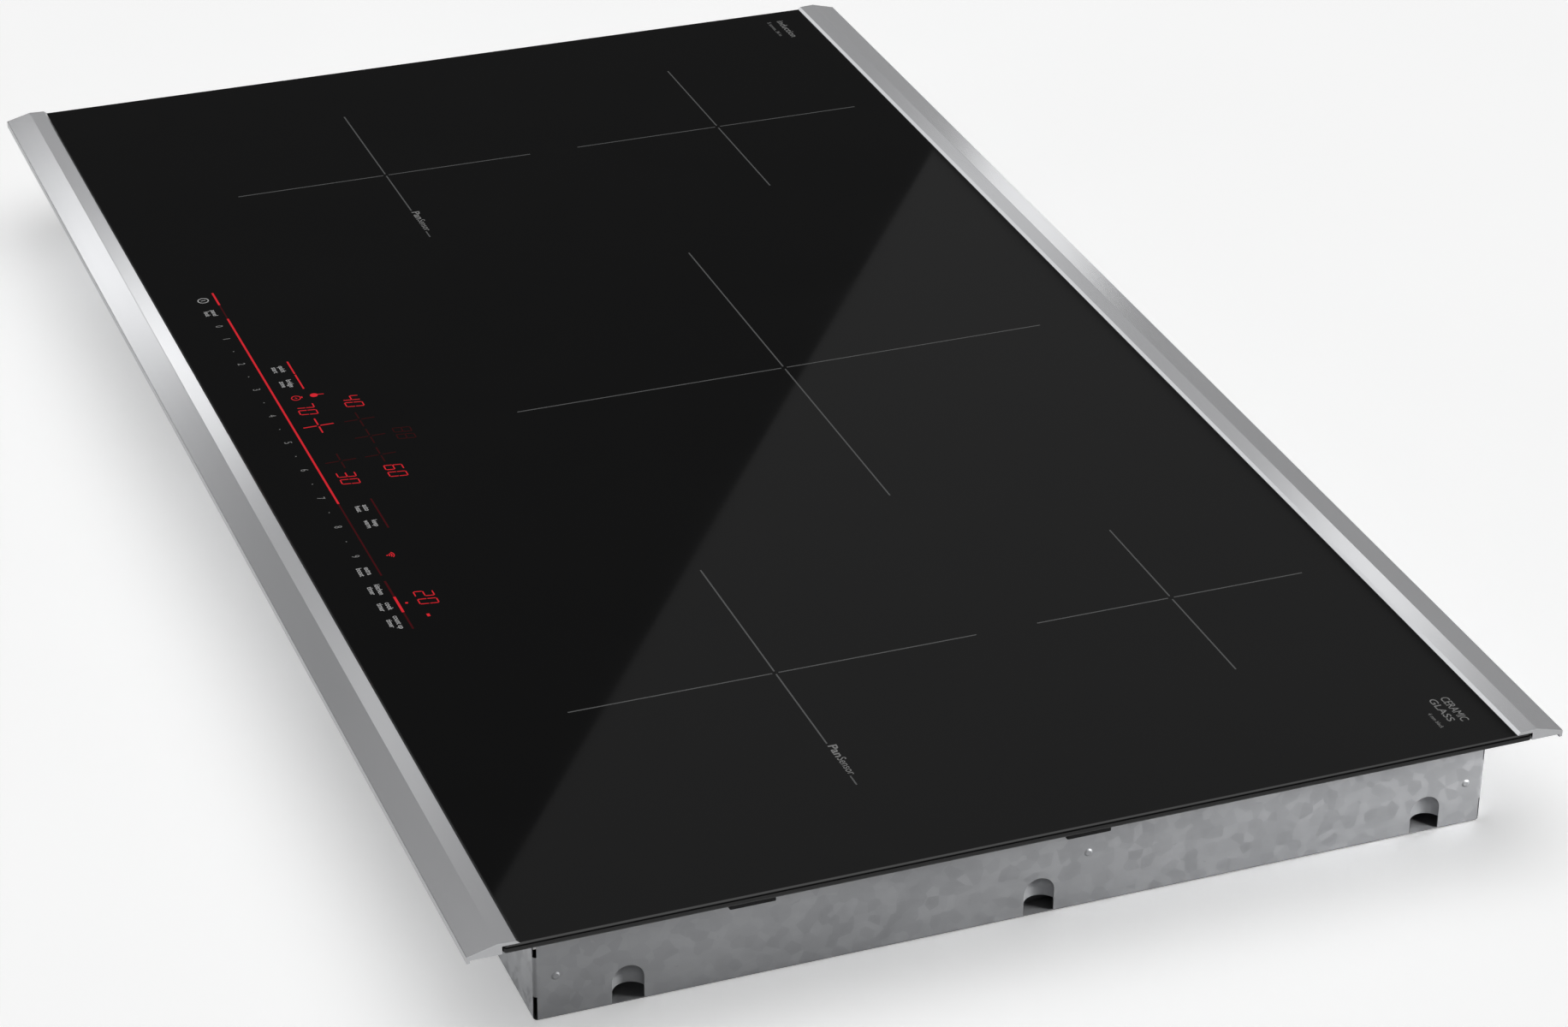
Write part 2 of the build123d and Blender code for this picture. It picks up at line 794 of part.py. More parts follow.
def make_power_components(side):
    """Transistors along the heatsink, film capacitors, a rectifier, chokes and coil connectors."""
    inner_face = side * (heatsink_x - heatsink_width / 2 - transistor[0] / 2 - 0.2)
    choke_places = [(side * choke_x, y) for y in choke_ys]
    with BuildPart() as components:
        with BuildSketch(Plane.XY.offset(board_top_z)):
            with Locations(*[(inner_face, y) for y in transistor_ys]):
                Rectangle(transistor[0], transistor[1])
        extrude(amount=transistor[2])
        with BuildSketch(Plane.XY.offset(board_top_z)):
            with Locations(*[(side * capacitor_x, y) for y in capacitor_ys]):
                RectangleRounded(*capacitor, 1.5)
            with Locations(*[(side * rectifier_x, y) for y in rectifier_ys]):
                RectangleRounded(*rectifier, 1.5)
        extrude(amount=box_part_height)
        with BuildSketch(Plane.XY.offset(board_top_z)):
            with Locations(*choke_places):
                Circle(choke_radii[0])
            with Locations(*choke_places):
                Circle(choke_radii[1], mode=Mode.SUBTRACT)
            with Locations(*[(side * x, y) for x, y in can_places]):
                Circle(can_radius)
        extrude(amount=round_part_height)
        with BuildSketch(Plane.XY.offset(board_top_z)):
            with Locations(*module_lead_places(side)):
                Rectangle(*connector)
        extrude(amount=connector_height)
    return components


def make_air_guide(side):
    """Inverted plastic channel that keeps the fan's air between the fins."""
    outer = heatsink_x + heatsink_width / 2 + guide_gap
    inner = heatsink_x - heatsink_width / 2 - transistor[0] - guide_gap - 2
    x_low, x_high = sorted((side * inner, side * outer))
    top = board_top_z + heatsink_height + guide_gap
    with BuildPart() as guide:
        with BuildSketch(Plane.XY.offset(board_top_z)):
            span_sketch(x_low, x_high, heatsink_front_y - 4, heatsink_rear_y + 2)
        extrude(amount=top - board_top_z)
        with BuildSketch(Plane.XY.offset(board_top_z)):
            span_sketch(x_low + guide_wall, x_high - guide_wall, heatsink_front_y - 5, heatsink_rear_y + 3)
        extrude(amount=top - board_top_z - guide_wall, mode=Mode.SUBTRACT)
    return guide


def make_board_screws():
    with BuildPart() as screws:
        places = board_screw_places(-1) + board_screw_places(1) + filter_screw_places()
        with BuildSketch(Plane.XY.offset(board_top_z)):
            with Locations(*places):
                Circle(board_screw_head[0])
        extrude(amount=board_screw_head[1])
        with BuildSketch(Plane.XY.offset(board_top_z)):
            with Locations(*places):
                Circle(board_screw_shank[0])
        extrude(amount=-board_screw_shank[1])
    return screws


# ---------------------------------------------------------------- cooling fans

def scroll_outline(side, inset):
    """Spiral wall that opens from the tongue to a straight outlet towards the front."""
    large = fan_scroll_large - inset
    small = fan_scroll_small - inset
    tongue = 250.0
    sweep_back = 290.0
    steps = 8
    points = []
    for step in range(steps + 1):
        share = step / steps
        radius = large + (small - large) * share
        points.append(on_circle((0, 0), radius, 180.0 - sweep_back * share))
    tip = on_circle((0, 0), small, tongue)
    tongue_x = tip[0] - inset
    end_y = fan_outlet_y - (2 if inset else 0)
    spiral = [(side * -x, y) for x, y in points]
    with BuildLine() as outline:
        Line((side * large, end_y), spiral[0])
        Spline(*spiral)
        tongue_side = side * -tongue_x
        Polyline(spiral[-1], (tongue_side, tip[1] - 2), (tongue_side, end_y), (side * large, end_y))
    make_face(outline.edges())


def make_fan_housing(side):
    """Scroll housing of the radial fan: inlet below, outlet towards the heatsink."""
    with BuildPart() as housing:
        with BuildSketch(Plane.XY.offset(fan_z)):
            scroll_outline(side, 0)
        extrude(amount=fan_height)
        with BuildSketch(Plane.XY.offset(fan_z + fan_wall)):
            scroll_outline(side, fan_wall)
        extrude(amount=fan_height - 2 * fan_wall, mode=Mode.SUBTRACT)
        with BuildSketch(Plane.XY.offset(fan_z)):
            Circle(fan_inlet_radius)
        extrude(amount=fan_wall, mode=Mode.SUBTRACT)
    return housing


def make_fan_motor():
    """Flat motor stator with the sleeve bearing that carries the impeller's shaft."""
    top = fan_z + fan_height - fan_wall
    with BuildPart() as motor:
        with BuildSketch(Plane.XY.offset(top)):
            Circle(motor_radius)
        extrude(amount=-motor_height)
        with BuildSketch(Plane.XY.offset(top - motor_height)):
            Circle(shaft_radius + shaft_clearance)
        extrude(amount=motor_height - 1.5, mode=Mode.SUBTRACT)
    return motor


def make_fan_impeller():
    """Cup rotor with a back plate, a ring of blades, an end ring and a central shaft."""
    blades = 24
    motor_bottom = fan_z + fan_height - fan_wall - motor_height
    cup = motor_radius + 1.2
    cup_wall = 1.4
    plate_low = motor_bottom + motor_height - 4
    blade_low = fan_z + fan_wall + 2
    with BuildPart() as impeller:
        with BuildSketch(Plane.XY.offset(motor_bottom - 2.4)):
            Circle(cup + cup_wall)
        extrude(amount=plate_low + 1.4 - (motor_bottom - 2.4))
        with BuildSketch(Plane.XY.offset(motor_bottom - 1)):
            Circle(cup)
        extrude(amount=motor_height, mode=Mode.SUBTRACT)
        with BuildSketch(Plane.XY.offset(plate_low)):
            Circle(impeller_radius)
            Circle(cup + cup_wall / 2, mode=Mode.SUBTRACT)
        extrude(amount=1.4)
        with BuildSketch(Plane.XY.offset(blade_low)):
            with PolarLocations(impeller_radius - 5.4, blades):
                SlotOverall(10.5, 1.4, rotation=38)
        extrude(amount=plate_low - blade_low)
        with BuildSketch(Plane.XY.offset(blade_low)):
            Circle(impeller_radius)
            Circle(impeller_radius - 4, mode=Mode.SUBTRACT)
        extrude(amount=1.2)
        with BuildSketch(Plane.XY.offset(motor_bottom - 1.2)):
            Circle(shaft_radius)
        extrude(amount=motor_height - 1.5)
    return impeller


def place_fan_part(builder, side):
    with BuildPart() as placed:
        with Locations((side * fan_x, fan_y, 0)):
            add(builder.part)
    return placed


# ---------------------------------------------------------------- filter, control and mains entry

def filter_screw_places():
    xs = (filter_x[0] + filter_screw_inset, filter_x[1] - filter_screw_inset)
    ys = (filter_y[0] + filter_screw_inset, filter_y[1] - filter_screw_inset)
    return [(x, y) for x in xs for y in ys]


def make_filter_board():
    with BuildPart() as board:
        with BuildSketch(Plane.XY.offset(board_z)):
            span_sketch(*filter_x, *filter_y, 2)
            with Locations(*filter_screw_places()):
                Circle(board_hole, mode=Mode.SUBTRACT)
        extrude(amount=board_thickness)
    return board


def make_filter_supports():
    with BuildPart() as supports:
        with BuildSketch(Plane.XY.offset(sheet)):
            with Locations(*filter_screw_places()):
                Circle(board_boss)
        extrude(amount=board_z - sheet)
        with BuildSketch(Plane.XY.offset(board_z)):
            with Locations(*filter_screw_places()):
                Circle(board_pilot)
        extrude(amount=-4.5, mode=Mode.SUBTRACT)
    return supports


def make_filter_components():
    """Ring chokes, film capacitors and relays of the mains filter."""
    middle = (filter_y[0] + filter_y[1]) / 2
    with BuildPart() as components:
        with BuildSketch(Plane.XY.offset(board_top_z)):
            with Locations((-58, middle), (-14, middle)):
                Circle(19)
                Circle(8, mode=Mode.SUBTRACT)
        extrude(amount=18)
        fillet(components.edges().filter_by(GeomType.CIRCLE), radius=3)
        with BuildSketch(Plane.XY.offset(board_top_z)):
            with Locations((28, middle + 22), (28, middle - 22)):
                RectangleRounded(32, 16, 1.5)
            with Locations((66, middle + 18), (66, middle - 18)):
                RectangleRounded(20, 28, 1)
        extrude(amount=23)
    return components


def make_control_carrier():
    """Open plastic dish that holds the touch and display board against the glass."""
    x_low, x_high = control_x
    y_low, y_high = control_y
    with BuildPart() as carrier:
        with BuildSketch(Plane.XY.offset(control_z)):
            span_sketch(*control_x, *control_y, 4)
        extrude(amount=control_height)
        with BuildSketch(Plane.XY.offset(control_z + control_wall)):
            span_sketch(x_low + control_wall, x_high - control_wall,
                        y_low + control_wall, y_high - control_wall, 3)
        extrude(amount=control_height, mode=Mode.SUBTRACT)
    return carrier


def make_control_board():
    with BuildPart() as board:
        with BuildSketch(Plane.XY.offset(control_z + control_board_rise)):
            span_sketch(control_x[0] + board_margin, control_x[1] - board_margin,
                        control_y[0] + board_margin, control_y[1] - board_margin, 2)
        extrude(amount=board_thickness)
        with BuildSketch(Plane.XY.offset(control_z + control_wall)):
            with Locations(((control_x[0] + control_x[1]) / 2, (control_y[0] + control_y[1]) / 2)):
                with GridLocations(360, 50, 2, 2):
                    Circle(3)
        extrude(amount=control_board_rise - control_wall)
    return board


def make_display_modules():
    """Two-digit numeral displays and the diffuser bar of the finger slider, face up under the glass."""
    with BuildPart() as displays:
        with BuildSketch(Plane.XY.offset(control_z + control_board_rise + board_thickness)):
            with Locations(*display_places):
                RectangleRounded(*display_size, 0.8)
            span_sketch(*slider_x, slider_y - 1.5, slider_y + 1.5, 1)
        extrude(amount=display_height)
    return displays


def make_terminal_box():
    """Mains box in the rear of the tray: floor, three walls and an open rear against the tray."""
    rear = tray_rear_y - sheet - 0.2
    with BuildPart() as box:
        with BuildSketch(Plane.XY.offset(sheet)):
            span_sketch(-box_half_width, box_half_width, box_front_y, rear)
        extrude(amount=box_height - sheet)
        with BuildSketch(Plane.XY.offset(sheet + box_wall)):
            inner_half = box_half_width - box_wall
            span_sketch(-inner_half, inner_half, box_front_y + box_wall, rear + 1)
        extrude(amount=box_height, mode=Mode.SUBTRACT)
        with BuildSketch(Plane.XZ.offset(-box_front_y)):
            with Locations((30, 24)):
                RectangleRounded(16, 8, 2)
        extrude(amount=2 * box_wall, both=True, mode=Mode.SUBTRACT)
    return box


def make_terminal_lid():
    with BuildPart() as lid:
        with BuildSketch(Plane.XY.offset(box_height)):
            lid_rear = tray_rear_y - sheet - 0.3
            span_sketch(-box_half_width - 1, box_half_width + 1, box_front_y - 1, lid_rear, 2)
        extrude(amount=1.0)
    return lid


def make_terminal_block():
    """Screw terminals for two live wires and earth, on an insulating base."""
    foot = sheet + box_wall
    middle = (terminal_x, box_front_y + terminal_depth / 2 + 14)
    with BuildPart() as block:
        with BuildSketch(Plane.XY.offset(foot)):
            with Locations(middle):
                RectangleRounded(terminal_poles * terminal_pitch + 4, terminal_depth, 1.5)
        extrude(amount=terminal_height)
        with BuildSketch(Plane.XY.offset(foot + terminal_height)):
            with Locations(middle):
                with GridLocations(terminal_pitch, 1, terminal_poles, 1):
                    Rectangle(13, 20)
        extrude(amount=-5, mode=Mode.SUBTRACT)
        with BuildSketch(Plane.XY.offset(foot + terminal_height - 5)):
            with Locations(middle):
                with GridLocations(terminal_pitch, 12, terminal_poles, 2):
                    Circle(3)
        extrude(amount=3)
    return block


def make_cable_bushing():
    """Snap bushing in the rear wall; the supply cable passes through its bore."""
    with BuildPart() as bushing:
        with BuildSketch(Plane.XZ.offset(-tray_rear_y)):
            with Locations((0, inlet_z)):
                Circle(inlet_hole_radius + 3)
        extrude(amount=-2)
        with BuildSketch(Plane.XZ.offset(-tray_rear_y)):
            with Locations((0, inlet_z)):
                Circle(inlet_hole_radius - 0.1)
        extrude(amount=inlet_length - 2)
        with BuildSketch(Plane.XZ.offset(-tray_rear_y - 2)):
            with Locations((0, inlet_z)):
                Circle(inlet_bore_radius)
        extrude(amount=inlet_length, mode=Mode.SUBTRACT)
    return bushing


# ---------------------------------------------------------------- build and write every piece

save(make_glass(), "glass_ceramic_top")
save(make_trim(-1), "front_trim")
save(make_trim(1), "rear_trim")
save(make_gasket(), "worktop_gasket")
save(make_edge_pads(), "edge_pads")
save(make_mounting_frame(), "mounting_frame")
save(make_bond(), "silicone_bond")
save(make_tray(), "base_tray")
save(make_tray_screws(), "tray_screws")

for zone_name, (zone_x, zone_y, zone_radius) in zones.items():
    save(make_coil_carrier((zone_x, zone_y), zone_radius), f"coil_carrier_{zone_name}")
    save(make_winding((zone_x, zone_y), zone_radius), f"coil_winding_{zone_name}")
    save(make_mica_disc((zone_x, zone_y), zone_radius), f"mica_disc_{zone_name}")
save(make_ferrites(), "ferrite_bars")
save(make_sensors(), "temperature_sensors")
save(make_springs(), "coil_springs")
save(make_coil_leads(), "coil_leads")
for plate_name in plates:
    save(make_support_plate(plate_name), f"coil_plate_{plate_name}")
save(make_plate_posts(), "plate_posts")
save(make_plate_screws(), "plate_screws")

motor = make_fan_motor()
impeller = make_fan_impeller()
for side_name, side in (("left", -1), ("right", 1)):
    save(make_module_carrier(side), f"module_carrier_{side_name}")
    save(make_power_board(side), f"power_board_{side_name}")
    save(make_heatsink(side), f"heatsink_{side_name}")
    save(make_power_components(side), f"power_components_{side_name}")
    save(make_air_guide(side), f"air_guide_{side_name}")
    save(place_fan_part(make_fan_housing(side), side), f"fan_housing_{side_name}")
    save(place_fan_part(motor, side), f"fan_motor_{side_name}")
    save(place_fan_part(impeller, side), f"fan_impeller_{side_name}")
save(make_board_screws(), "board_screws")

save(make_filter_board(), "filter_board")
save(make_filter_supports(), "filter_supports")
save(make_filter_components(), "filter_components")
save(make_control_carrier(), "control_carrier")
save(make_control_board(), "control_board")
save(make_display_modules(), "display_modules")
save(make_terminal_box(), "terminal_box")
save(make_terminal_lid(), "terminal_box_lid")
save(make_terminal_block(), "terminal_block")
save(make_cable_bushing(), "cable_bushing")
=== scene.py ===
# %% [markdown]
# # A built-in induction cooktop
# A sheet of black glass-ceramic lies between two brushed metal trims, and a shallow zinc-coated tray
# hangs below it. The tray holds five coils, two power modules with their fans, and a touch control.
# The frame already holds every part at its real size, in metres. What is left to do here is the work
# of a finisher: printing the glass, lighting its displays, winding the coils and giving every surface
# its own material.

# %% Load the frame
import math

import bmesh
import bpy
from mathutils import Matrix, Vector


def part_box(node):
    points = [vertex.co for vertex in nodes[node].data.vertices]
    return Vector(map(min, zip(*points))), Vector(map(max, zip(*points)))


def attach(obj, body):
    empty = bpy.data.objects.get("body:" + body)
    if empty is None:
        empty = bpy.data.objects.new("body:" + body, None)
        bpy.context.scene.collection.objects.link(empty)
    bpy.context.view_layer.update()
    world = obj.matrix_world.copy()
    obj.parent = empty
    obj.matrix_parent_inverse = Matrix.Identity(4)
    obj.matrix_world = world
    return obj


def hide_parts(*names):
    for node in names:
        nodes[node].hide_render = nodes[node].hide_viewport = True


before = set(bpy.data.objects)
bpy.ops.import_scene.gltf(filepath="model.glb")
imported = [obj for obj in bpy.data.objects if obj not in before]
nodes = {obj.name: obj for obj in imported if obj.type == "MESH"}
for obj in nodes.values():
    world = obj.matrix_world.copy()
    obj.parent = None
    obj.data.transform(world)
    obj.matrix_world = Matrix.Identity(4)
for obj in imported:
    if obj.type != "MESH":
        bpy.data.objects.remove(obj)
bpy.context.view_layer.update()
mm = 0.001
COOKTOP = "cooktop"

# %% [markdown]
# ## The view
# A long lens keeps the far edge of the sheet nearly as wide as the near one. The camera is placed by
# an azimuth and an elevation round the middle of the glass, and rolled by less than a degree.

# %% Camera
glass_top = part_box("glass_ceramic_top")[1].z
glass_middle = Vector((0, 0, glass_top))
view_azimuth = math.radians(68.64)
view_elevation = math.radians(29.25)
view_roll = math.radians(-0.73)
view_offset = Vector((1.94131, -0.70158, 1.07611))
view_place = glass_middle + view_offset
sensor_width = 36
focal_length = 98.77

back = Vector((
    math.sin(view_azimuth) * math.cos(view_elevation),
    -math.cos(view_azimuth) * math.cos(view_elevation),
    math.sin(view_elevation),
))
level_right = (-back).cross(Vector((0, 0, 1))).normalized()
level_down = (-back).cross(level_right)
right = level_right * math.cos(view_roll) + level_down * math.sin(view_roll)
down = level_down * math.cos(view_roll) - level_right * math.sin(view_roll)

camera_data = bpy.data.cameras.new("camera")
camera_data.sensor_width = sensor_width
camera_data.lens = focal_length
camera_data.clip_start = 0.01
camera_data.clip_end = 100
camera = bpy.data.objects.new("camera", camera_data)
bpy.context.scene.collection.objects.link(camera)
view_turn = Matrix((right, -down, back)).transposed().to_4x4()
camera.matrix_world = Matrix.Translation(view_place) @ view_turn
bpy.context.scene.camera = camera
print("camera distance:", round((view_place - glass_middle).length, 3), "m")

# %% [markdown]
# ## Light
# Black glass shows what stands above and behind it, so the room matters more than the lamps. The sky
# of this studio is dim near the horizon and bright overhead: the glass stays black from the side, and
# the metal still gets its soft highlights. Behind the cooktop the camera sees a plain pale backdrop,
# which only camera rays meet, so it lights nothing.

# %% The room
horizon_light = 0.07
overhead_light = 1.95
glow_begins = 0.56
glow_is_full = 0.95
backdrop_light = 0.95

scene = bpy.context.scene
scene.view_settings.view_transform = "Standard"
world = bpy.data.worlds.new("studio")
scene.world = world
world.use_nodes = True
sky = world.node_tree
sky.nodes.clear()
sky_out = sky.nodes.new("ShaderNodeOutputWorld")
sky_light = sky.nodes.new("ShaderNodeBackground")
sky_direction = sky.nodes.new("ShaderNodeTexCoord")
sky_axes = sky.nodes.new("ShaderNodeSeparateXYZ")
sky_height = sky.nodes.new("ShaderNodeMapRange")
sky_height.interpolation_type = "SMOOTHSTEP"
sky_height.inputs["From Min"].default_value = glow_begins
sky_height.inputs["From Max"].default_value = glow_is_full
sky_height.inputs["To Min"].default_value = horizon_light
sky_height.inputs["To Max"].default_value = overhead_light
sky_path = sky.nodes.new("ShaderNodeLightPath")
sky_choice = sky.nodes.new("ShaderNodeMix")
sky_choice.data_type = "FLOAT"
sky_choice.inputs["B"].default_value = backdrop_light
sky.links.new(sky_direction.outputs["Generated"], sky_axes.inputs["Vector"])
sky.links.new(sky_axes.outputs["Z"], sky_height.inputs["Value"])
sky.links.new(sky_height.outputs["Result"], sky_choice.inputs["A"])
sky.links.new(sky_path.outputs["Is Camera Ray"], sky_choice.inputs["Factor"])
sky.links.new(sky_choice.outputs["Result"], sky_light.inputs["Strength"])
sky.links.new(sky_light.outputs["Background"], sky_out.inputs["Surface"])
print("sky nodes:", len(sky.nodes))

# %% [markdown]
# ### Lamps for the tray
# The tray hangs below the glass, where the sky barely reaches. Three softboxes light its right and
# front walls. Light linking keeps them off the glass and the seal, which would turn grey in such light.

# %% Lamps for the tray
def softbox(name, place, target, width, height, radiance, only=()):
    """A rectangular lamp that faces its target. With only, it lights just those CAD nodes."""
    lamp = bpy.data.lights.new(name, "AREA")
    lamp.shape = "RECTANGLE"
    lamp.size = width
    lamp.size_y = height
    lamp.energy = radiance * math.pi * width * height
    holder = bpy.data.objects.new(name, lamp)
    scene.collection.objects.link(holder)
    aim = (Vector(target) - Vector(place)).to_track_quat("-Z", "Y")
    holder.matrix_world = Matrix.Translation(place) @ aim.to_matrix().to_4x4()
    if only:
        lit = bpy.data.collections.new(name + "_lights")
        for node in only:
            lit.objects.link(nodes[node])
        holder.light_linking.receiver_collection = lit
    return holder


tray_walls = ("base_tray", "mounting_frame")
wall_target = (0.44, 0.0, 0.03)
softbox("wall_lamp", (0.80, 0.62, 0.30), (0.44, 0.15, 0.03), 0.25, 0.2, 90.0, tray_walls)
softbox("tray_side_lamp", (2.2, -0.9, 0.5), wall_target, 0.6, 0.4, 1.3, tray_walls)
softbox("tray_front_lamp", (-1.3, -1.2, 0.26), (0.42, -0.24, 0.03), 0.8, 0.4, 60.0, tray_walls)

# %% [markdown]
# ### Lamps for the trims
# The trims are folded to slopes, and each slope faces another part of the room. Each highlight has a
# lamp of its own, set where the slope mirrors it into the camera, as strips are placed for metal in a
# studio. A row gives the side (-1 for the front, 1 for the rear), the slope, the place of the highlight
# along X, the size of the lamp and its radiance.

# %% Lamps for the trims
front_low, front_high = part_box("front_trim")
slope_tilt = {"outer": math.radians(14.6), "inner": math.radians(-2.2), "bevel": math.radians(-38.7)}
slope_depth = {
    "outer": front_low.y + 7.0 * mm,
    "inner": front_high.y - 5.0 * mm,
    "bevel": front_high.y - 0.8 * mm,
}
slope_below_top = 1.0 * mm
lamp_distance = 2.0


def mirrored_place(side, slope, along, distance):
    """Where a lamp stands so that the trim shows it at x = along, seen from the camera."""
    tilt = slope_tilt[slope]
    point = Vector((along, -side * slope_depth[slope], front_high.z - slope_below_top))
    normal = Vector((0, side * math.sin(tilt), math.cos(tilt)))
    ray = (point - view_place).normalized()
    return point + (ray - 2 * ray.dot(normal) * normal) * distance, point


slope_lamps = (
    (-1, "outer", 0.10, 2.4, 0.23),
    (-1, "outer", -0.235, 0.18, 2.1),
    (-1, "inner", -0.110, 0.16, 2.2),
    (-1, "inner", -0.40, 0.7, 0.14),
    (-1, "inner", 0.270, 0.20, 0.6),
    (1, "inner", 0.310, 0.16, 1.5),
    (1, "inner", -0.165, 0.18, 0.5),
    (1, "outer", 0.20, 2.4, 0.34),
    (1, "outer", -0.130, 0.17, 1.4),
    (1, "bevel", 0.05, 2.2, 0.9),
)
for index, (side, slope, along_x, size, radiance) in enumerate(slope_lamps):
    place, point = mirrored_place(side, slope, along_x, lamp_distance)
    edge = "rear" if side > 0 else "front"
    softbox(f"{edge}_{slope}_lamp_{index}", place, point, size, size, radiance, (edge + "_trim",))

# %% [markdown]
# ### A card in the glass
# One dim card hangs far behind the cooktop. Its slanting edge shows in the glass as a faint diagonal,
# which is what tells the eye that the surface is polished. Its corners are worked out backwards: from
# where they should show on the glass, along the mirrored line of sight.

# %% A card in the glass
card_reach = 4.0
card_radiance = 0.17
card_shows_at = ((-0.237, 0.244), (0.425, -0.242), (0.60, -0.36), (0.60, 0.244))
mirror_eye = Vector((view_place.x, view_place.y, 2 * glass_top - view_place.z))


def behind_glass(x, y):
    """The card's point that shows at (x, y) on the glass."""
    return mirror_eye + (Vector((x, y, glass_top)) - mirror_eye) * card_reach


card_mesh = bpy.data.meshes.new("card")
card_mesh.from_pydata([behind_glass(x, y) for x, y in card_shows_at], [], [(0, 1, 2, 3)])
card = bpy.data.objects.new("card", card_mesh)
scene.collection.objects.link(card)
card.visible_camera = False
card.visible_diffuse = False
card.visible_shadow = False
card_paper = bpy.data.materials.new("card_paper")
card_paper.use_nodes = True
card_paper.node_tree.nodes.clear()
card_glow = card_paper.node_tree.nodes.new("ShaderNodeEmission")
card_glow.inputs["Strength"].default_value = card_radiance
card_end = card_paper.node_tree.nodes.new("ShaderNodeOutputMaterial")
card_paper.node_tree.links.new(card_glow.outputs["Emission"], card_end.inputs["Surface"])
card_mesh.materials.append(card_paper)
print("card corners in m:", [tuple(round(v, 2) for v in vertex.co) for vertex in card_mesh.vertices])

# %% [markdown]
# ## Tools for materials
# Every finish starts from a Principled shader. What several finishes share, such as brush marks, zinc
# crystals or a moulded skin, is a node group with its own inputs, so that each material can set how
# strong and how fine it is. The groups read Object coordinates, which lie on the part in metres.

# %% A material and a shared effect
def finish(name, **values):
    """A material with one Principled shader; values set its sockets."""
    material = bpy.data.materials.new(name)
    material.use_nodes = True
    tree = material.node_tree
    tree.nodes.clear()
    out = tree.nodes.new("ShaderNodeOutputMaterial")
    shader = tree.nodes.new("ShaderNodeBsdfPrincipled")
    tree.links.new(shader.outputs["BSDF"], out.inputs["Surface"])
    for socket, value in values.items():
        shader.inputs[socket.replace("_", " ")].default_value = value
    return material, tree, shader


def group(name, inputs, outputs):
    """A shader node group with float inputs (name, default) plus a vector input called Place."""
    tree = bpy.data.node_groups.new(name, "ShaderNodeTree")
    tree.interface.new_socket("Place", in_out="INPUT", socket_type="NodeSocketVector")
    for label, value in inputs:
        socket = tree.interface.new_socket(label, in_out="INPUT", socket_type="NodeSocketFloat")
        socket.default_value = value
    for label in outputs:
        tree.interface.new_socket(label, in_out="OUTPUT", socket_type="NodeSocketFloat")
    start = tree.nodes.new("NodeGroupInput")
    end = tree.nodes.new("NodeGroupOutput")
    return tree, start.outputs, end.inputs


# %% [markdown]
# ### Joining nodes
# A node tree reads best as sentences: make this node, feed it that. The next helpers add a node and
# link it in one call. Wherever a link could go, a plain number may stand instead.

# %% Joining nodes
def join(tree, kind, links=None, **settings):
    """Adds a node, sets its properties and inputs, and feeds the inputs named in links."""
    made = tree.nodes.new(kind)
    for name, value in settings.items():
        if hasattr(made, name):
            setattr(made, name, value)
    for name, value in settings.items():
        if not hasattr(made, name):
            made.inputs[name.replace("_", " ")].default_value = value
    for name, source in (links or {}).items():
        if hasattr(source, "links"):
            tree.links.new(source, made.inputs[name])
        else:
            made.inputs[name].default_value = source
    return made


def ranged(tree, value, low, high, from_low=0.0, from_high=1.0):
    """Maps a 0 to 1 value to low..high; low and high are numbers or sockets."""
    made = tree.nodes.new("ShaderNodeMapRange")
    made.inputs["From Min"].default_value = from_low
    made.inputs["From Max"].default_value = from_high
    tree.links.new(value, made.inputs["Value"])
    for label, end in (("To Min", low), ("To Max", high)):
        if hasattr(end, "links"):
            tree.links.new(end, made.inputs[label])
        else:
            made.inputs[label].default_value = end
    return made.outputs["Result"]


def maths(tree, operation, first, second):
    """One Math node; first and second are numbers or sockets."""
    made = tree.nodes.new("ShaderNodeMath")
    made.operation = operation
    for index, value in enumerate((first, second)):
        if hasattr(value, "links"):
            tree.links.new(value, made.inputs[index])
        else:
            made.inputs[index].default_value = value
    return made.outputs["Value"]


def place_of(tree):
    """Where a point lies on its own part, in metres."""
    return tree.nodes.new("ShaderNodeTexCoord").outputs["Object"]


# %% [markdown]
# ### From masks to a finish
# A mask is a value between 0 and 1 that changes over the surface. It picks between two colours, and as
# a height it tilts the light. The last helper gives the finished material to the parts.

# %% From masks to a finish
def blend_colour(tree, factor, first, second):
    """Mixes two colours by a mask."""
    made = tree.nodes.new("ShaderNodeMix")
    made.data_type = "RGBA"
    made.inputs["A"].default_value = (*first, 1)
    made.inputs["B"].default_value = (*second, 1)
    tree.links.new(factor, made.inputs["Factor"])
    return made.outputs["Result"]


def use(tree, effect, place, **values):
    """Places a shared effect in a material with this material's own values."""
    made = tree.nodes.new("ShaderNodeGroup")
    made.node_tree = effect
    tree.links.new(place, made.inputs["Place"])
    for name, value in values.items():
        made.inputs[name.replace("_", " ")].default_value = value
    return made.outputs


def raise_bumps(tree, shader, height, depth):
    """Feeds a height between 0 and 1 to the shader's normal; depth is in metres."""
    bump = tree.nodes.new("ShaderNodeBump")
    bump.inputs["Distance"].default_value = depth
    tree.links.new(height, bump.inputs["Height"])
    tree.links.new(bump.outputs["Normal"], shader.inputs["Normal"])


def paint(material, *names):
    """Gives these CAD nodes the material."""
    for name in names:
        for slot in nodes[name].material_slots:
            slot.material = material
    print(material.name, "on", len(names), "parts")


# %% [markdown]
# ### Brushed grain
# A belt leaves thousands of short, fine scratches that lie one way. Noise stretched along the part is
# enough for that: one octave for the scratches and one, much wider, for the bands in which the belt
# pressed harder.

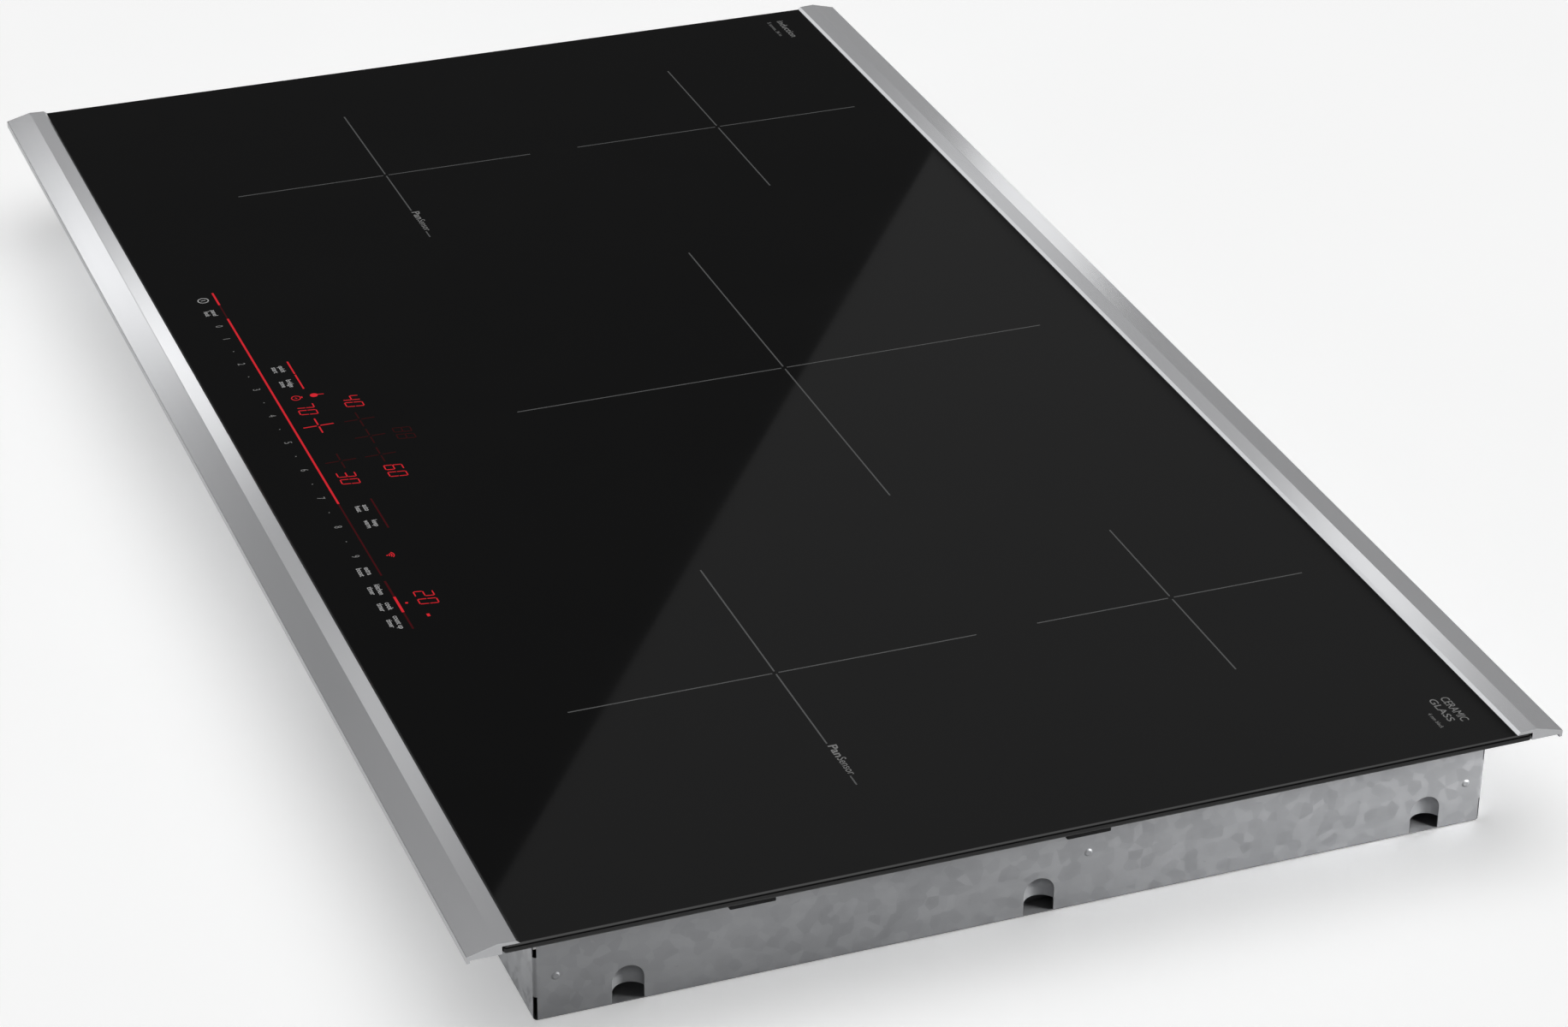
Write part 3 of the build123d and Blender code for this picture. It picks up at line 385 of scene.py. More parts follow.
# %% Brushed grain
brushed_grain, grain_in, grain_out = group(
    "brushed_grain",
    [("Scratch Size", 0.0004), ("Stretch", 12.0), ("Band Size", 0.03)],
    ["Scratches", "Bands"],
)
stretch = join(brushed_grain, "ShaderNodeCombineXYZ", {
    "X": maths(brushed_grain, "DIVIDE", 1.0, grain_in["Stretch"]),
}, Y=1.0, Z=1.0)
stretched_place = join(brushed_grain, "ShaderNodeVectorMath", {
    0: grain_in["Place"],
    1: stretch.outputs["Vector"],
}, operation="MULTIPLY")
scratch_noise = join(brushed_grain, "ShaderNodeTexNoise", {
    "Vector": stretched_place.outputs["Vector"],
    "Scale": maths(brushed_grain, "DIVIDE", 1.0, grain_in["Scratch Size"]),
}, Detail=3.0, Roughness=0.6)
band_noise = join(brushed_grain, "ShaderNodeTexNoise", {
    "Vector": stretched_place.outputs["Vector"],
    "Scale": maths(brushed_grain, "DIVIDE", 1.0, grain_in["Band Size"]),
}, Detail=2.0)
brushed_grain.links.new(scratch_noise.outputs["Fac"], grain_out["Scratches"])
brushed_grain.links.new(band_noise.outputs["Fac"], grain_out["Bands"])
print(brushed_grain.name, "has", len(brushed_grain.nodes), "nodes")

# %% [markdown]
# ### Zinc crystals
# Hot-dip zinc freezes into flat crystals a few millimetres wide, each a little lighter or darker than
# the next, under a cloudy film that the rolling mill drew out along the sheet.

# %% Zinc crystals
zinc_crystals, zinc_in, zinc_out = group(
    "zinc_crystals",
    [("Crystal Size", 0.006), ("Cloud Size", 0.04)],
    ["Crystals", "Clouds", "Pits"],
)
crystal_cells = join(zinc_crystals, "ShaderNodeTexVoronoi", {
    "Vector": zinc_in["Place"],
    "Scale": maths(zinc_crystals, "DIVIDE", 1.0, zinc_in["Crystal Size"]),
}, Randomness=1.0)
crystal_tone = join(zinc_crystals, "ShaderNodeSeparateColor", {"Color": crystal_cells.outputs["Color"]})
drawn = join(zinc_crystals, "ShaderNodeVectorMath", {
    0: zinc_in["Place"],
    1: (0.35, 0.35, 1.0),
}, operation="MULTIPLY")
cloud_noise = join(zinc_crystals, "ShaderNodeTexNoise", {
    "Vector": drawn.outputs["Vector"],
    "Scale": maths(zinc_crystals, "DIVIDE", 1.0, zinc_in["Cloud Size"]),
}, Detail=5.0, Roughness=0.62, Distortion=0.6)
pits_per_metre = 1600.0
pit_noise = join(zinc_crystals, "ShaderNodeTexNoise", {
    "Vector": zinc_in["Place"],
    "Scale": pits_per_metre,
}, Detail=2.0)
zinc_crystals.links.new(crystal_tone.outputs["Red"], zinc_out["Crystals"])
zinc_crystals.links.new(cloud_noise.outputs["Fac"], zinc_out["Clouds"])
zinc_crystals.links.new(pit_noise.outputs["Fac"], zinc_out["Pits"])
print(zinc_crystals.name, "has", len(zinc_crystals.nodes), "nodes")

# %% [markdown]
# ### Moulded skin
# Injection moulds are spark-eroded, which leaves a fine even grain on every plastic part, and the melt
# leaves faint flow marks that are far larger.

# %% Moulded skin
moulded_skin, skin_in, skin_out = group(
    "moulded_skin",
    [("Grain Size", 0.0006), ("Flow Size", 0.02)],
    ["Grain", "Flow"],
)
skin_noise = join(moulded_skin, "ShaderNodeTexNoise", {
    "Vector": skin_in["Place"],
    "Scale": maths(moulded_skin, "DIVIDE", 1.0, skin_in["Grain Size"]),
}, Detail=2.0)
flow_noise = join(moulded_skin, "ShaderNodeTexNoise", {
    "Vector": skin_in["Place"],
    "Scale": maths(moulded_skin, "DIVIDE", 1.0, skin_in["Flow Size"]),
}, Detail=3.0, Distortion=1.2)
moulded_skin.links.new(skin_noise.outputs["Fac"], skin_out["Grain"])
moulded_skin.links.new(flow_noise.outputs["Fac"], skin_out["Flow"])
print("shared effects:", [g.name for g in bpy.data.node_groups])

# %% [markdown]
# ## Metals
# One function makes every worked metal: the colour wavers with the bands, the roughness with the
# scratches, and a very shallow bump catches the light across the grain.

# %% Brushed metal
def brushed_metal(name, dark, light, rough, scratch=0.0004, stretch_by=12.0, depth=3e-6):
    """Metal worked with a belt; scratch and depth are in metres."""
    material, tree, shader = finish(name, Metallic=1.0)
    grain = use(tree, brushed_grain, place_of(tree), Scratch_Size=scratch, Stretch=stretch_by)
    tone = maths(tree, "ADD", maths(tree, "MULTIPLY", grain["Scratches"], 0.6),
                 maths(tree, "MULTIPLY", grain["Bands"], 0.4))
    tone = ranged(tree, tone, 0.0, 1.0, 0.3, 0.7)
    tree.links.new(blend_colour(tree, tone, dark, light), shader.inputs["Base Color"])
    tree.links.new(ranged(tree, grain["Scratches"], *rough), shader.inputs["Roughness"])
    raise_bumps(tree, shader, grain["Scratches"], depth)
    return material


trim_steel = brushed_metal("trim_steel", (0.60, 0.605, 0.62), (0.68, 0.685, 0.70), (0.189, 0.195),
                           scratch=0.0003, stretch_by=5.0, depth=8e-8)
paint(trim_steel, "front_trim", "rear_trim")

# %% [markdown]
# ### Zinc-coated sheet
# The tray is never brushed or painted. Its crystals differ a little in brightness and in gloss, the
# clouds do most of the rest, and tiny pits break up the highlights.

# %% Zinc-coated sheet
pit_depth = 2e-6


def zinc_sheet(name, dark, light, rough, crystal=0.006, cloud=0.04):
    """Hot-dip coated sheet; crystal and cloud are sizes in metres."""
    material, tree, shader = finish(name, Metallic=0.85)
    zinc = use(tree, zinc_crystals, place_of(tree), Crystal_Size=crystal, Cloud_Size=cloud)
    tone = maths(tree, "ADD", maths(tree, "MULTIPLY", zinc["Crystals"], 0.3),
                 maths(tree, "MULTIPLY", zinc["Clouds"], 0.7))
    tree.links.new(blend_colour(tree, ranged(tree, tone, 0.0, 1.0, 0.25, 0.75), dark, light),
                   shader.inputs["Base Color"])
    tree.links.new(ranged(tree, zinc["Crystals"], *rough), shader.inputs["Roughness"])
    raise_bumps(tree, shader, zinc["Pits"], pit_depth)
    return material


tray_zinc = zinc_sheet("tray_zinc", (0.30, 0.305, 0.315), (0.37, 0.375, 0.385), (0.44, 0.52))
paint(tray_zinc, "base_tray", "mounting_frame", "terminal_box", "terminal_box_lid")

# %% [markdown]
# ## Black glass
# The glass-ceramic is black through and through. Two things keep it from looking like a hole: a sharp
# reflection, and the film of wiping marks that every glass top carries, which only shows in its gloss.

# %% Black glass
black_glass, glass_tree, glass_shader = finish("black_glass", IOR=1.5)
wipe = use(glass_tree, moulded_skin, place_of(glass_tree), Grain_Size=0.0012, Flow_Size=0.11)
glass_black = blend_colour(glass_tree, wipe["Flow"], (0.0022, 0.0023, 0.0025), (0.0036, 0.0036, 0.0037))
glass_tree.links.new(glass_black, glass_shader.inputs["Base Color"])
glass_tree.links.new(ranged(glass_tree, wipe["Flow"], 0.015, 0.04), glass_shader.inputs["Roughness"])
paint(black_glass, "glass_ceramic_top")

# %% [markdown]
# ## Below the glass
# Plastics, foam, ceramics and sleeves differ in colour, gloss and grain but are made the same way, so
# one function covers them. It takes two colours, a range of roughness, the sizes of the grain and of
# the flow marks, and the depth of the grain in metres.

# %% Moulded and fired parts
def moulded(name, dark, light, rough, grain=0.0006, flow=0.02, depth=6e-6, **values):
    """A moulded, cast or fired skin; grain, flow and depth are in metres."""
    material, tree, shader = finish(name, **values)
    skin = use(tree, moulded_skin, place_of(tree), Grain_Size=grain, Flow_Size=flow)
    tone = ranged(tree, skin["Flow"], 0.0, 1.0, 0.3, 0.7)
    tree.links.new(blend_colour(tree, tone, dark, light), shader.inputs["Base Color"])
    tree.links.new(ranged(tree, skin["Grain"], *rough), shader.inputs["Roughness"])
    raise_bumps(tree, shader, skin["Grain"], depth)
    return material


def parts(*starts):
    """The names of all nodes that start with one of these."""
    return [name for name in nodes if name.startswith(starts)]


# %% Seal and bond
seal_foam = moulded("seal_foam", (0.010, 0.010, 0.011), (0.018, 0.018, 0.019), (0.75, 0.95),
                    grain=0.0009, flow=0.01, depth=5e-5)
bond_silicone = moulded("bond_silicone", (0.34, 0.35, 0.36), (0.46, 0.47, 0.48), (0.25, 0.4),
                        grain=0.003, flow=0.03, depth=4e-5, Transmission_Weight=0.35, IOR=1.41)
paint(seal_foam, "worktop_gasket", "edge_pads")
paint(bond_silicone, "silicone_bond")

# %% Plastics
carrier_plastic = moulded("carrier_plastic", (0.022, 0.022, 0.024), (0.034, 0.034, 0.036), (0.42, 0.6))
module_plastic = moulded("module_plastic", (0.070, 0.072, 0.076), (0.092, 0.094, 0.098), (0.38, 0.55))
impeller_plastic = moulded("impeller_plastic", (0.012, 0.012, 0.013), (0.020, 0.020, 0.021), (0.30, 0.42))
display_block = moulded("display_block", (0.10, 0.006, 0.008), (0.15, 0.010, 0.012), (0.15, 0.3),
                        grain=0.002, flow=0.01, depth=2e-6)
paint(carrier_plastic, *parts("coil_carrier_"))
paint(module_plastic, "control_carrier", "filter_supports", "cable_bushing")
paint(module_plastic, *parts("module_carrier_", "air_guide_", "fan_housing_"))
paint(impeller_plastic, "fan_impeller_left", "fan_impeller_right")
paint(display_block, "display_modules")

# %% Ferrite, ceramic, sleeves and components
ferrite_grey = moulded("ferrite_grey", (0.045, 0.044, 0.043), (0.085, 0.082, 0.078), (0.40, 0.7),
                       grain=0.0004, flow=0.004, depth=1e-5, Metallic=0.3)
probe_ceramic = moulded("probe_ceramic", (0.62, 0.59, 0.53), (0.72, 0.70, 0.65), (0.35, 0.5),
                        grain=0.0005, flow=0.01, depth=4e-6)
sleeve_fibre = moulded("sleeve_fibre", (0.30, 0.29, 0.27), (0.46, 0.45, 0.42), (0.6, 0.8),
                       grain=0.0008, flow=0.003, depth=1.2e-4)
component_case = moulded("component_case", (0.035, 0.037, 0.042), (0.30, 0.20, 0.045), (0.25, 0.45),
                         grain=0.0008, flow=0.045, depth=3e-6)
paint(ferrite_grey, "ferrite_bars")
paint(probe_ceramic, "temperature_sensors", "terminal_block")
paint(sleeve_fibre, "coil_leads")
paint(component_case, "power_components_left", "power_components_right", "filter_components")

# %% [markdown]
# ### Metals inside, and mica
# The support plates are brushed. The heat sinks and the motor cans take the same function with hardly
# any stretch, which leaves an even grain. Mica is pressed from flakes, so the crystals of the zinc serve
# again, in a warm colour and under a thin coat of varnish.

# %% Metals inside
plate_aluminium = brushed_metal("plate_aluminium", (0.50, 0.51, 0.52), (0.62, 0.63, 0.64), (0.30, 0.45),
                                scratch=0.0006, stretch_by=8.0)
fin_aluminium = brushed_metal("fin_aluminium", (0.44, 0.45, 0.46), (0.60, 0.61, 0.62), (0.35, 0.5),
                              scratch=0.0005, stretch_by=1.5)
motor_steel = brushed_metal("motor_steel", (0.28, 0.28, 0.29), (0.40, 0.40, 0.41), (0.3, 0.45),
                            stretch_by=1.2)
screw_zinc = zinc_sheet("screw_zinc", (0.40, 0.405, 0.42), (0.52, 0.525, 0.535), (0.25, 0.4),
                        crystal=0.0012, cloud=0.006)
paint(plate_aluminium, "coil_plate_left", "coil_plate_centre", "coil_plate_right")
paint(fin_aluminium, "heatsink_left", "heatsink_right")
paint(motor_steel, "fan_motor_left", "fan_motor_right")
paint(screw_zinc, "plate_posts")

# %% Mica
mica_sheet, mica_tree, mica_shader = finish("mica_sheet", Coat_Weight=0.25, Coat_Roughness=0.2)
flakes = use(mica_tree, zinc_crystals, place_of(mica_tree), Crystal_Size=0.004, Cloud_Size=0.06)
mica_colour = blend_colour(mica_tree, flakes["Crystals"], (0.30, 0.25, 0.17), (0.48, 0.42, 0.31))
mica_tree.links.new(mica_colour, mica_shader.inputs["Base Color"])
mica_tree.links.new(ranged(mica_tree, flakes["Crystals"], 0.2, 0.5), mica_shader.inputs["Roughness"])
paint(mica_sheet, *parts("mica_disc_"))

# %% [markdown]
# ### Circuit boards
# Tracks run straight, in bundles that turn by a right angle from one area to the next. Square cells
# choose, area by area, between stripes along X and stripes along Y, and a regular grid of round pads
# lies over them.

# %% Tracks and pads
circuit_tracks, track_in, track_out = group(
    "circuit_tracks",
    [("Track Pitch", 0.0024), ("Area Size", 0.022), ("Pad Pitch", 0.0127)],
    ["Tracks", "Pads"],
)
track_share = 0.27
pad_radius = 0.13
areas = join(circuit_tracks, "ShaderNodeTexVoronoi", {
    "Vector": track_in["Place"],
    "Scale": maths(circuit_tracks, "DIVIDE", 1.0, track_in["Area Size"]),
}, distance="CHEBYCHEV", Randomness=0.8)
area_tone = join(circuit_tracks, "ShaderNodeSeparateColor", {"Color": areas.outputs["Color"]})
track_axes = join(circuit_tracks, "ShaderNodeSeparateXYZ", {"Vector": track_in["Place"]}).outputs
picked_axis = join(circuit_tracks, "ShaderNodeMix", {
    "Factor": maths(circuit_tracks, "GREATER_THAN", area_tone.outputs["Red"], 0.5),
    "A": track_axes["X"],
    "B": track_axes["Y"],
}, data_type="FLOAT").outputs["Result"]
track_number = maths(circuit_tracks, "DIVIDE", picked_axis, track_in["Track Pitch"])
track_wave = maths(circuit_tracks, "PINGPONG", track_number, 0.5)
pads = join(circuit_tracks, "ShaderNodeTexVoronoi", {
    "Vector": track_in["Place"],
    "Scale": maths(circuit_tracks, "DIVIDE", 1.0, track_in["Pad Pitch"]),
}, voronoi_dimensions="2D", Randomness=0.15)
is_track = maths(circuit_tracks, "GREATER_THAN", track_wave, track_share)
is_pad = maths(circuit_tracks, "LESS_THAN", pads.outputs["Distance"], pad_radius)
circuit_tracks.links.new(is_track, track_out["Tracks"])
circuit_tracks.links.new(is_pad, track_out["Pads"])
print(circuit_tracks.name, "has", len(circuit_tracks.nodes), "nodes")

# %% Circuit boards
board_green, board_tree, board_shader = finish("board_green", Coat_Weight=0.3)
tracks = use(board_tree, circuit_tracks, place_of(board_tree))
lacquer = blend_colour(board_tree, tracks["Tracks"], (0.010, 0.075, 0.035), (0.022, 0.125, 0.055))
tinned = join(board_tree, "ShaderNodeMix", {"Factor": tracks["Pads"], "A": lacquer},
              data_type="RGBA", B=(0.55, 0.55, 0.52, 1))
board_tree.links.new(tinned.outputs["Result"], board_shader.inputs["Base Color"])
board_tree.links.new(ranged(board_tree, tracks["Tracks"], 0.45, 0.30), board_shader.inputs["Roughness"])
raise_bumps(board_tree, board_shader, tracks["Tracks"], 3e-5)
paint(board_green, "power_board_left", "power_board_right", "filter_board", "control_board")

# %% [markdown]
# ## Printing on the glass
# The prints are fired ceramic ink, a few hundredths of a millimetre thick. Each one is a real, very
# thin plate here, so it has edges and its own finish. All plates share two heights: they start just
# inside the glass and stand a little proud of it.

# %% Plates of ink
ink_bottom = glass_top - 0.02 * mm
ink_top = glass_top + 0.04 * mm
ink_middle = (ink_top + ink_bottom) / 2
ink_thickness = ink_top - ink_bottom
print("ink from", round(ink_bottom / mm, 2), "to", round(ink_top / mm, 2), "mm above the underside")


def plates_to_mesh(name, outlines):
    """Turns closed outlines, in millimetres on the glass, into thin plates in one mesh."""
    shape = bmesh.new()
    for outline in outlines:
        ring = [shape.verts.new((x * mm, y * mm, ink_bottom)) for x, y in outline]
        face = shape.faces.new(ring)
        lifted = bmesh.ops.extrude_face_region(shape, geom=[face])["geom"]
        for vertex in (v for v in lifted if isinstance(v, bmesh.types.BMVert)):
            vertex.co.z = ink_top
    bmesh.ops.recalc_face_normals(shape, faces=shape.faces)
    mesh = bpy.data.meshes.new(name)
    shape.to_mesh(mesh)
    shape.free()
    return mesh


def add_piece(name, mesh, material, body=COOKTOP):
    """Puts a finished mesh in the scene, on its body, with its material."""
    piece = bpy.data.objects.new(name, mesh)
    scene.collection.objects.link(piece)
    if material is not None:
        mesh.materials.clear()
        mesh.materials.append(material)
    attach(piece, body)
    return piece


# %% [markdown]
# ### Bars, rings and dots
# Every sign on the glass comes down to three outlines: a bar, a stretch of a ring, and a round dot.
# They are worked out in millimetres, the unit in which such a print is drawn.

# %% Bars, rings and dots
def turned(points, x, y, turn):
    """Turns points by some degrees and moves them to (x, y)."""
    c, s = math.cos(math.radians(turn)), math.sin(math.radians(turn))
    return [(x + a * c - b * s, y + a * s + b * c) for a, b in points]


def bar(x, y, length, width, turn=0.0):
    """A straight bar of ink; turn is in degrees."""
    half, side = length / 2, width / 2
    return turned(((-half, -side), (half, -side), (half, side), (-half, side)), x, y, turn)


def arc_band(x, y, radius, width, start=0.0, end=360.0, steps=36):
    """Short four-sided plates that follow an arc."""
    pieces = []
    for step in range(steps):
        a0 = math.radians(start + (end - start) * step / steps)
        a1 = math.radians(start + (end - start) * (step + 1) / steps)
        inner, outer = radius - width / 2, radius + width / 2
        pieces.append([
            (x + inner * math.cos(a0), y + inner * math.sin(a0)),
            (x + outer * math.cos(a0), y + outer * math.sin(a0)),
            (x + outer * math.cos(a1), y + outer * math.sin(a1)),
            (x + inner * math.cos(a1), y + inner * math.sin(a1)),
        ])
    return pieces


def disc(x, y, radius, steps=20):
    """The outline of a round dot."""
    return [(x + radius * math.cos(math.tau * i / steps), y + radius * math.sin(math.tau * i / steps))
            for i in range(steps)]


# %% [markdown]
# ### Inks and lights
# Screen-printed ink is matte and a little mottled. The red signs aren't ink: light from below passes
# through the glass, so they glow, and where they glow the surface is still glass, glossy and black.

# %% Inks and lights
def ink(name, dark, light):
    """Ceramic ink: matte, with the faint mottle of a screen print."""
    material, tree, shader = finish(name, Roughness=0.5)
    mottle = use(tree, moulded_skin, place_of(tree), Grain_Size=0.0004, Flow_Size=0.004)
    tree.links.new(blend_colour(tree, mottle["Grain"], dark, light), shader.inputs["Base Color"])
    return material


def lamp_colour(name, edge, core):
    """A lit part of the display: the light wavers a little from one chip to the next."""
    material, tree, shader = finish(name, Roughness=0.06, Specular_IOR_Level=0.3, Emission_Strength=1.0)
    chips = use(tree, moulded_skin, place_of(tree), Grain_Size=0.002, Flow_Size=0.008)
    glow = blend_colour(tree, chips["Flow"], edge, core)
    tree.links.new(glow, shader.inputs["Emission Color"])
    shader.inputs["Base Color"].default_value = (0.003, 0.0022, 0.0023, 1)
    return material


grey_ink = ink("grey_ink", (0.20, 0.20, 0.20), (0.27, 0.27, 0.265))
dark_ink = ink("dark_ink", (0.085, 0.087, 0.088), (0.12, 0.122, 0.122))
white_ink = ink("white_ink", (0.44, 0.44, 0.44), (0.56, 0.56, 0.56))
bright_red = lamp_colour("bright_red", (0.50, 0.012, 0.020), (0.72, 0.020, 0.032))
dim_red = lamp_colour("dim_red", (0.034, 0.001, 0.002), (0.052, 0.001, 0.003))
faint_red = lamp_colour("faint_red", (0.022, 0.001, 0.001), (0.034, 0.001, 0.002))
print("inks and lights:", [m.name for m in (grey_ink, dark_ink, white_ink, bright_red, dim_red, faint_red)])

# %% [markdown]
# ### Zone crosses
# Five crosses mark where the pans go. Each is the same drawing at another size, so one Geometry Nodes
# tree draws them all: four arms round a small open centre, with the arm length, the gap and the line
# width as inputs. Two crosses carry a label in one arm, so that arm ends early and a short dash follows
# after the label. The display repeats the crosses in miniature, from the same tree.
#
# The helpers below serve every Geometry Nodes tree in this file. Each tree ends in Realize Instances and
# Set Material, and what it makes is turned into a plain mesh at once.

# %% Growing a mesh from a tree
def new_tree(name, inputs):
    """A Geometry Nodes tree with named inputs: (label, socket type, default)."""
    tree = bpy.data.node_groups.new(name, "GeometryNodeTree")
    tree.is_modifier = True
    tree.interface.new_socket("Geometry", in_out="INPUT", socket_type="NodeSocketGeometry")
    for label, kind, value in inputs:
        socket = tree.interface.new_socket(label, in_out="INPUT", socket_type="NodeSocket" + kind)
        if value is not None:
            socket.default_value = value
    tree.interface.new_socket("Geometry", in_out="OUTPUT", socket_type="NodeSocketGeometry")
    start = tree.nodes.new("NodeGroupInput")
    end = tree.nodes.new("NodeGroupOutput")
    return tree, start.outputs, end.inputs["Geometry"]


def close_tree(tree, geometry, material_socket, end):
    """Every tree ends by making its instances real and giving them their material."""
    real = tree.nodes.new("GeometryNodeRealizeInstances")
    painted = tree.nodes.new("GeometryNodeSetMaterial")
    tree.links.new(geometry, real.inputs["Geometry"])
    tree.links.new(real.outputs["Geometry"], painted.inputs["Geometry"])
    tree.links.new(material_socket, painted.inputs["Material"])
    tree.links.new(painted.outputs["Geometry"], end)


def grow(tree, name, base=None, **values):
    """Runs a tree on a mesh of points or an empty mesh, and returns the plain mesh that it makes."""
    holder = bpy.data.objects.new(name + "_holder", base or bpy.data.meshes.new(name + "_base"))
    scene.collection.objects.link(holder)
    modifier = holder.modifiers.new("grow", "NODES")
    modifier.node_group = tree
    for item in tree.interface.items_tree:
        if item.in_out == "INPUT" and item.name.replace(" ", "_") in values:
            modifier[item.identifier] = values[item.name.replace(" ", "_")]
    bpy.context.view_layer.update()
    seen = holder.evaluated_get(bpy.context.evaluated_depsgraph_get())
    mesh = bpy.data.meshes.new_from_object(seen)
    mesh.name = name
    holder.modifiers.remove(modifier)
    bpy.data.objects.remove(holder)
    return mesh


def placed(mesh, x, y, z=0.0):
    """Moves a mesh to its place, so that its object can stay at the origin."""
    mesh.transform(Matrix.Translation((x, y, z)))
    return mesh


# %% A bar, inside the tree
cross_tree, cross_in, cross_end = new_tree("printed_cross", [
    ("Arm", "Float", 0.09),
    ("Gap", "Float", 0.001),
    ("Width", "Float", 0.0006),
    ("Thickness", "Float", 0.00006),
    ("Label Room", "Float", 0.0),
    ("Dash", "Float", 0.0),
    ("Ink", "Material", None),
])


def tree_bar(length, middle):
    """A bar along X whose middle lies at x = middle."""
    size = join(cross_tree, "ShaderNodeCombineXYZ", {
        "X": length,
        "Y": cross_in["Width"],
        "Z": cross_in["Thickness"],
    })
    plain = join(cross_tree, "GeometryNodeMeshCube", {"Size": size.outputs["Vector"]})
    shift = join(cross_tree, "ShaderNodeCombineXYZ", {"X": middle})
    moved = join(cross_tree, "GeometryNodeTransform", {
        "Geometry": plain.outputs["Mesh"],
        "Translation": shift.outputs["Vector"],
    })
    return moved.outputs["Geometry"]


arm_ends = maths(cross_tree, "ADD", cross_in["Arm"], cross_in["Gap"])
arm_bar = tree_bar(
    maths(cross_tree, "SUBTRACT", cross_in["Arm"], cross_in["Gap"]),
    maths(cross_tree, "MULTIPLY", arm_ends, 0.5),
)
half_dash = maths(cross_tree, "MULTIPLY", cross_in["Dash"], 0.5)
dash_bar = tree_bar(cross_in["Dash"], maths(cross_tree, "SUBTRACT", cross_in["Arm"], half_dash))

# %% A tree that draws a cross
arm_points = join(cross_tree, "GeometryNodeMeshCircle", Vertices=4, Radius=1e-6)
arm_index = cross_tree.nodes.new("GeometryNodeInputIndex").outputs["Index"]
arm_angle = maths(cross_tree, "MULTIPLY", arm_index, math.pi / 2)
quarter_turn = join(cross_tree, "ShaderNodeCombineXYZ", {"Z": arm_angle})
is_first = maths(cross_tree, "LESS_THAN", arm_index, 0.5)
label_share = maths(cross_tree, "DIVIDE", cross_in["Label Room"], cross_in["Arm"])
shortened = maths(cross_tree, "MULTIPLY", is_first, label_share)
arm_length = maths(cross_tree, "SUBTRACT", 1.0, shortened)
arm_scale = join(cross_tree, "ShaderNodeCombineXYZ", {"X": arm_length}, Y=1.0, Z=1.0)
arms = join(cross_tree, "GeometryNodeInstanceOnPoints", {
    "Points": arm_points.outputs["Mesh"],
    "Instance": arm_bar,
    "Rotation": quarter_turn.outputs["Vector"],
    "Scale": arm_scale.outputs["Vector"],
})
has_label = maths(cross_tree, "GREATER_THAN", cross_in["Label Room"], 0.0)
dash_choice = join(cross_tree, "GeometryNodeSwitch", {
    "Switch": has_label,
    "True": dash_bar,
}, input_type="GEOMETRY")
whole_cross = join(cross_tree, "GeometryNodeJoinGeometry")
cross_tree.links.new(arms.outputs["Instances"], whole_cross.inputs["Geometry"])
cross_tree.links.new(dash_choice.outputs["Output"], whole_cross.inputs["Geometry"])
close_tree(cross_tree, whole_cross.outputs["Geometry"], cross_in["Ink"], cross_end)
print(cross_tree.name, "has", len(cross_tree.nodes), "nodes")

# %% Print the five zones
zones = ("left_front", "left_rear", "centre", "right_front", "right_rear")
sensing_zones = ("left_front", "right_front")
label_room = 37.5
label_dash = 8.0
zone_gap = 1.6
zone_line = 0.8
zone_centre = {}
zone_arm = {}
for zone in zones:
    zone_low, zone_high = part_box("coil_carrier_" + zone)
    zone_centre[zone] = (zone_low + zone_high) / 2
    zone_arm[zone] = (zone_high.x - zone_low.x) / 2
    room = label_room * mm if zone in sensing_zones else 0.0
    mesh = grow(cross_tree, "zone_cross_" + zone, Arm=zone_arm[zone], Gap=zone_gap * mm,
                Width=zone_line * mm, Thickness=ink_thickness, Label_Room=room,
                Dash=label_dash * mm, Ink=dark_ink)
    placed(mesh, zone_centre[zone].x, zone_centre[zone].y, ink_middle)
    add_piece("zone_cross_" + zone, mesh, None)
    print(zone, "cross", round(2 * zone_arm[zone] / mm), "mm,", len(mesh.polygons), "faces")

# %% [markdown]
# ### Lettering
# Words are text curves made into meshes. Only plain words and numbers are used, the kind that any
# cooktop carries. A width in millimetres stretches a word to the room that it has.

# %% Words
def word(body, x, y, size, stretch_by=0.9, heavy=0.0, across="CENTER", upright="CENTER", width=None):
    """One word as a thin mesh, set on the point (x, y) in millimetres; width stretches it to fit."""
    curve = bpy.data.curves.new(body, "FONT")
    curve.body = body
    curve.size = size * mm
    curve.align_x = across
    curve.align_y = upright
    curve.offset = heavy * mm
    curve.extrude = ink_thickness / 2
    curve.resolution_u = 3
    holder = bpy.data.objects.new(body, curve)
    scene.collection.objects.link(holder)
    bpy.context.view_layer.update()
    mesh = bpy.data.meshes.new_from_object(holder.evaluated_get(bpy.context.evaluated_depsgraph_get()))
    bpy.data.objects.remove(holder)
    if width:
        spread = [v.co.x for v in mesh.vertices]
        stretch_by = width * mm / (max(spread) - min(spread))
    stretched = Matrix.Diagonal((stretch_by, 1, 1, 1))
    mesh.transform(Matrix.Translation((x * mm, y * mm, ink_middle)) @ stretched)
    return mesh


def merge(name, meshes):
    """One clean mesh from several, doubles merged and faces turned outwards."""
    shape = bmesh.new()
    for mesh in meshes:
        shape.from_mesh(mesh)
    bmesh.ops.remove_doubles(shape, verts=shape.verts, dist=1e-7)
    bmesh.ops.recalc_face_normals(shape, faces=shape.faces)
    merged = bpy.data.meshes.new(name)
    shape.to_mesh(merged)
    shape.free()
    return merged


# %% [markdown]
# ### The heat scale
# Numbers 0 to 9 stand under the slider, with a dot halfway between them. All of it hangs on two
# numbers, where the scale starts and how far apart its steps are.

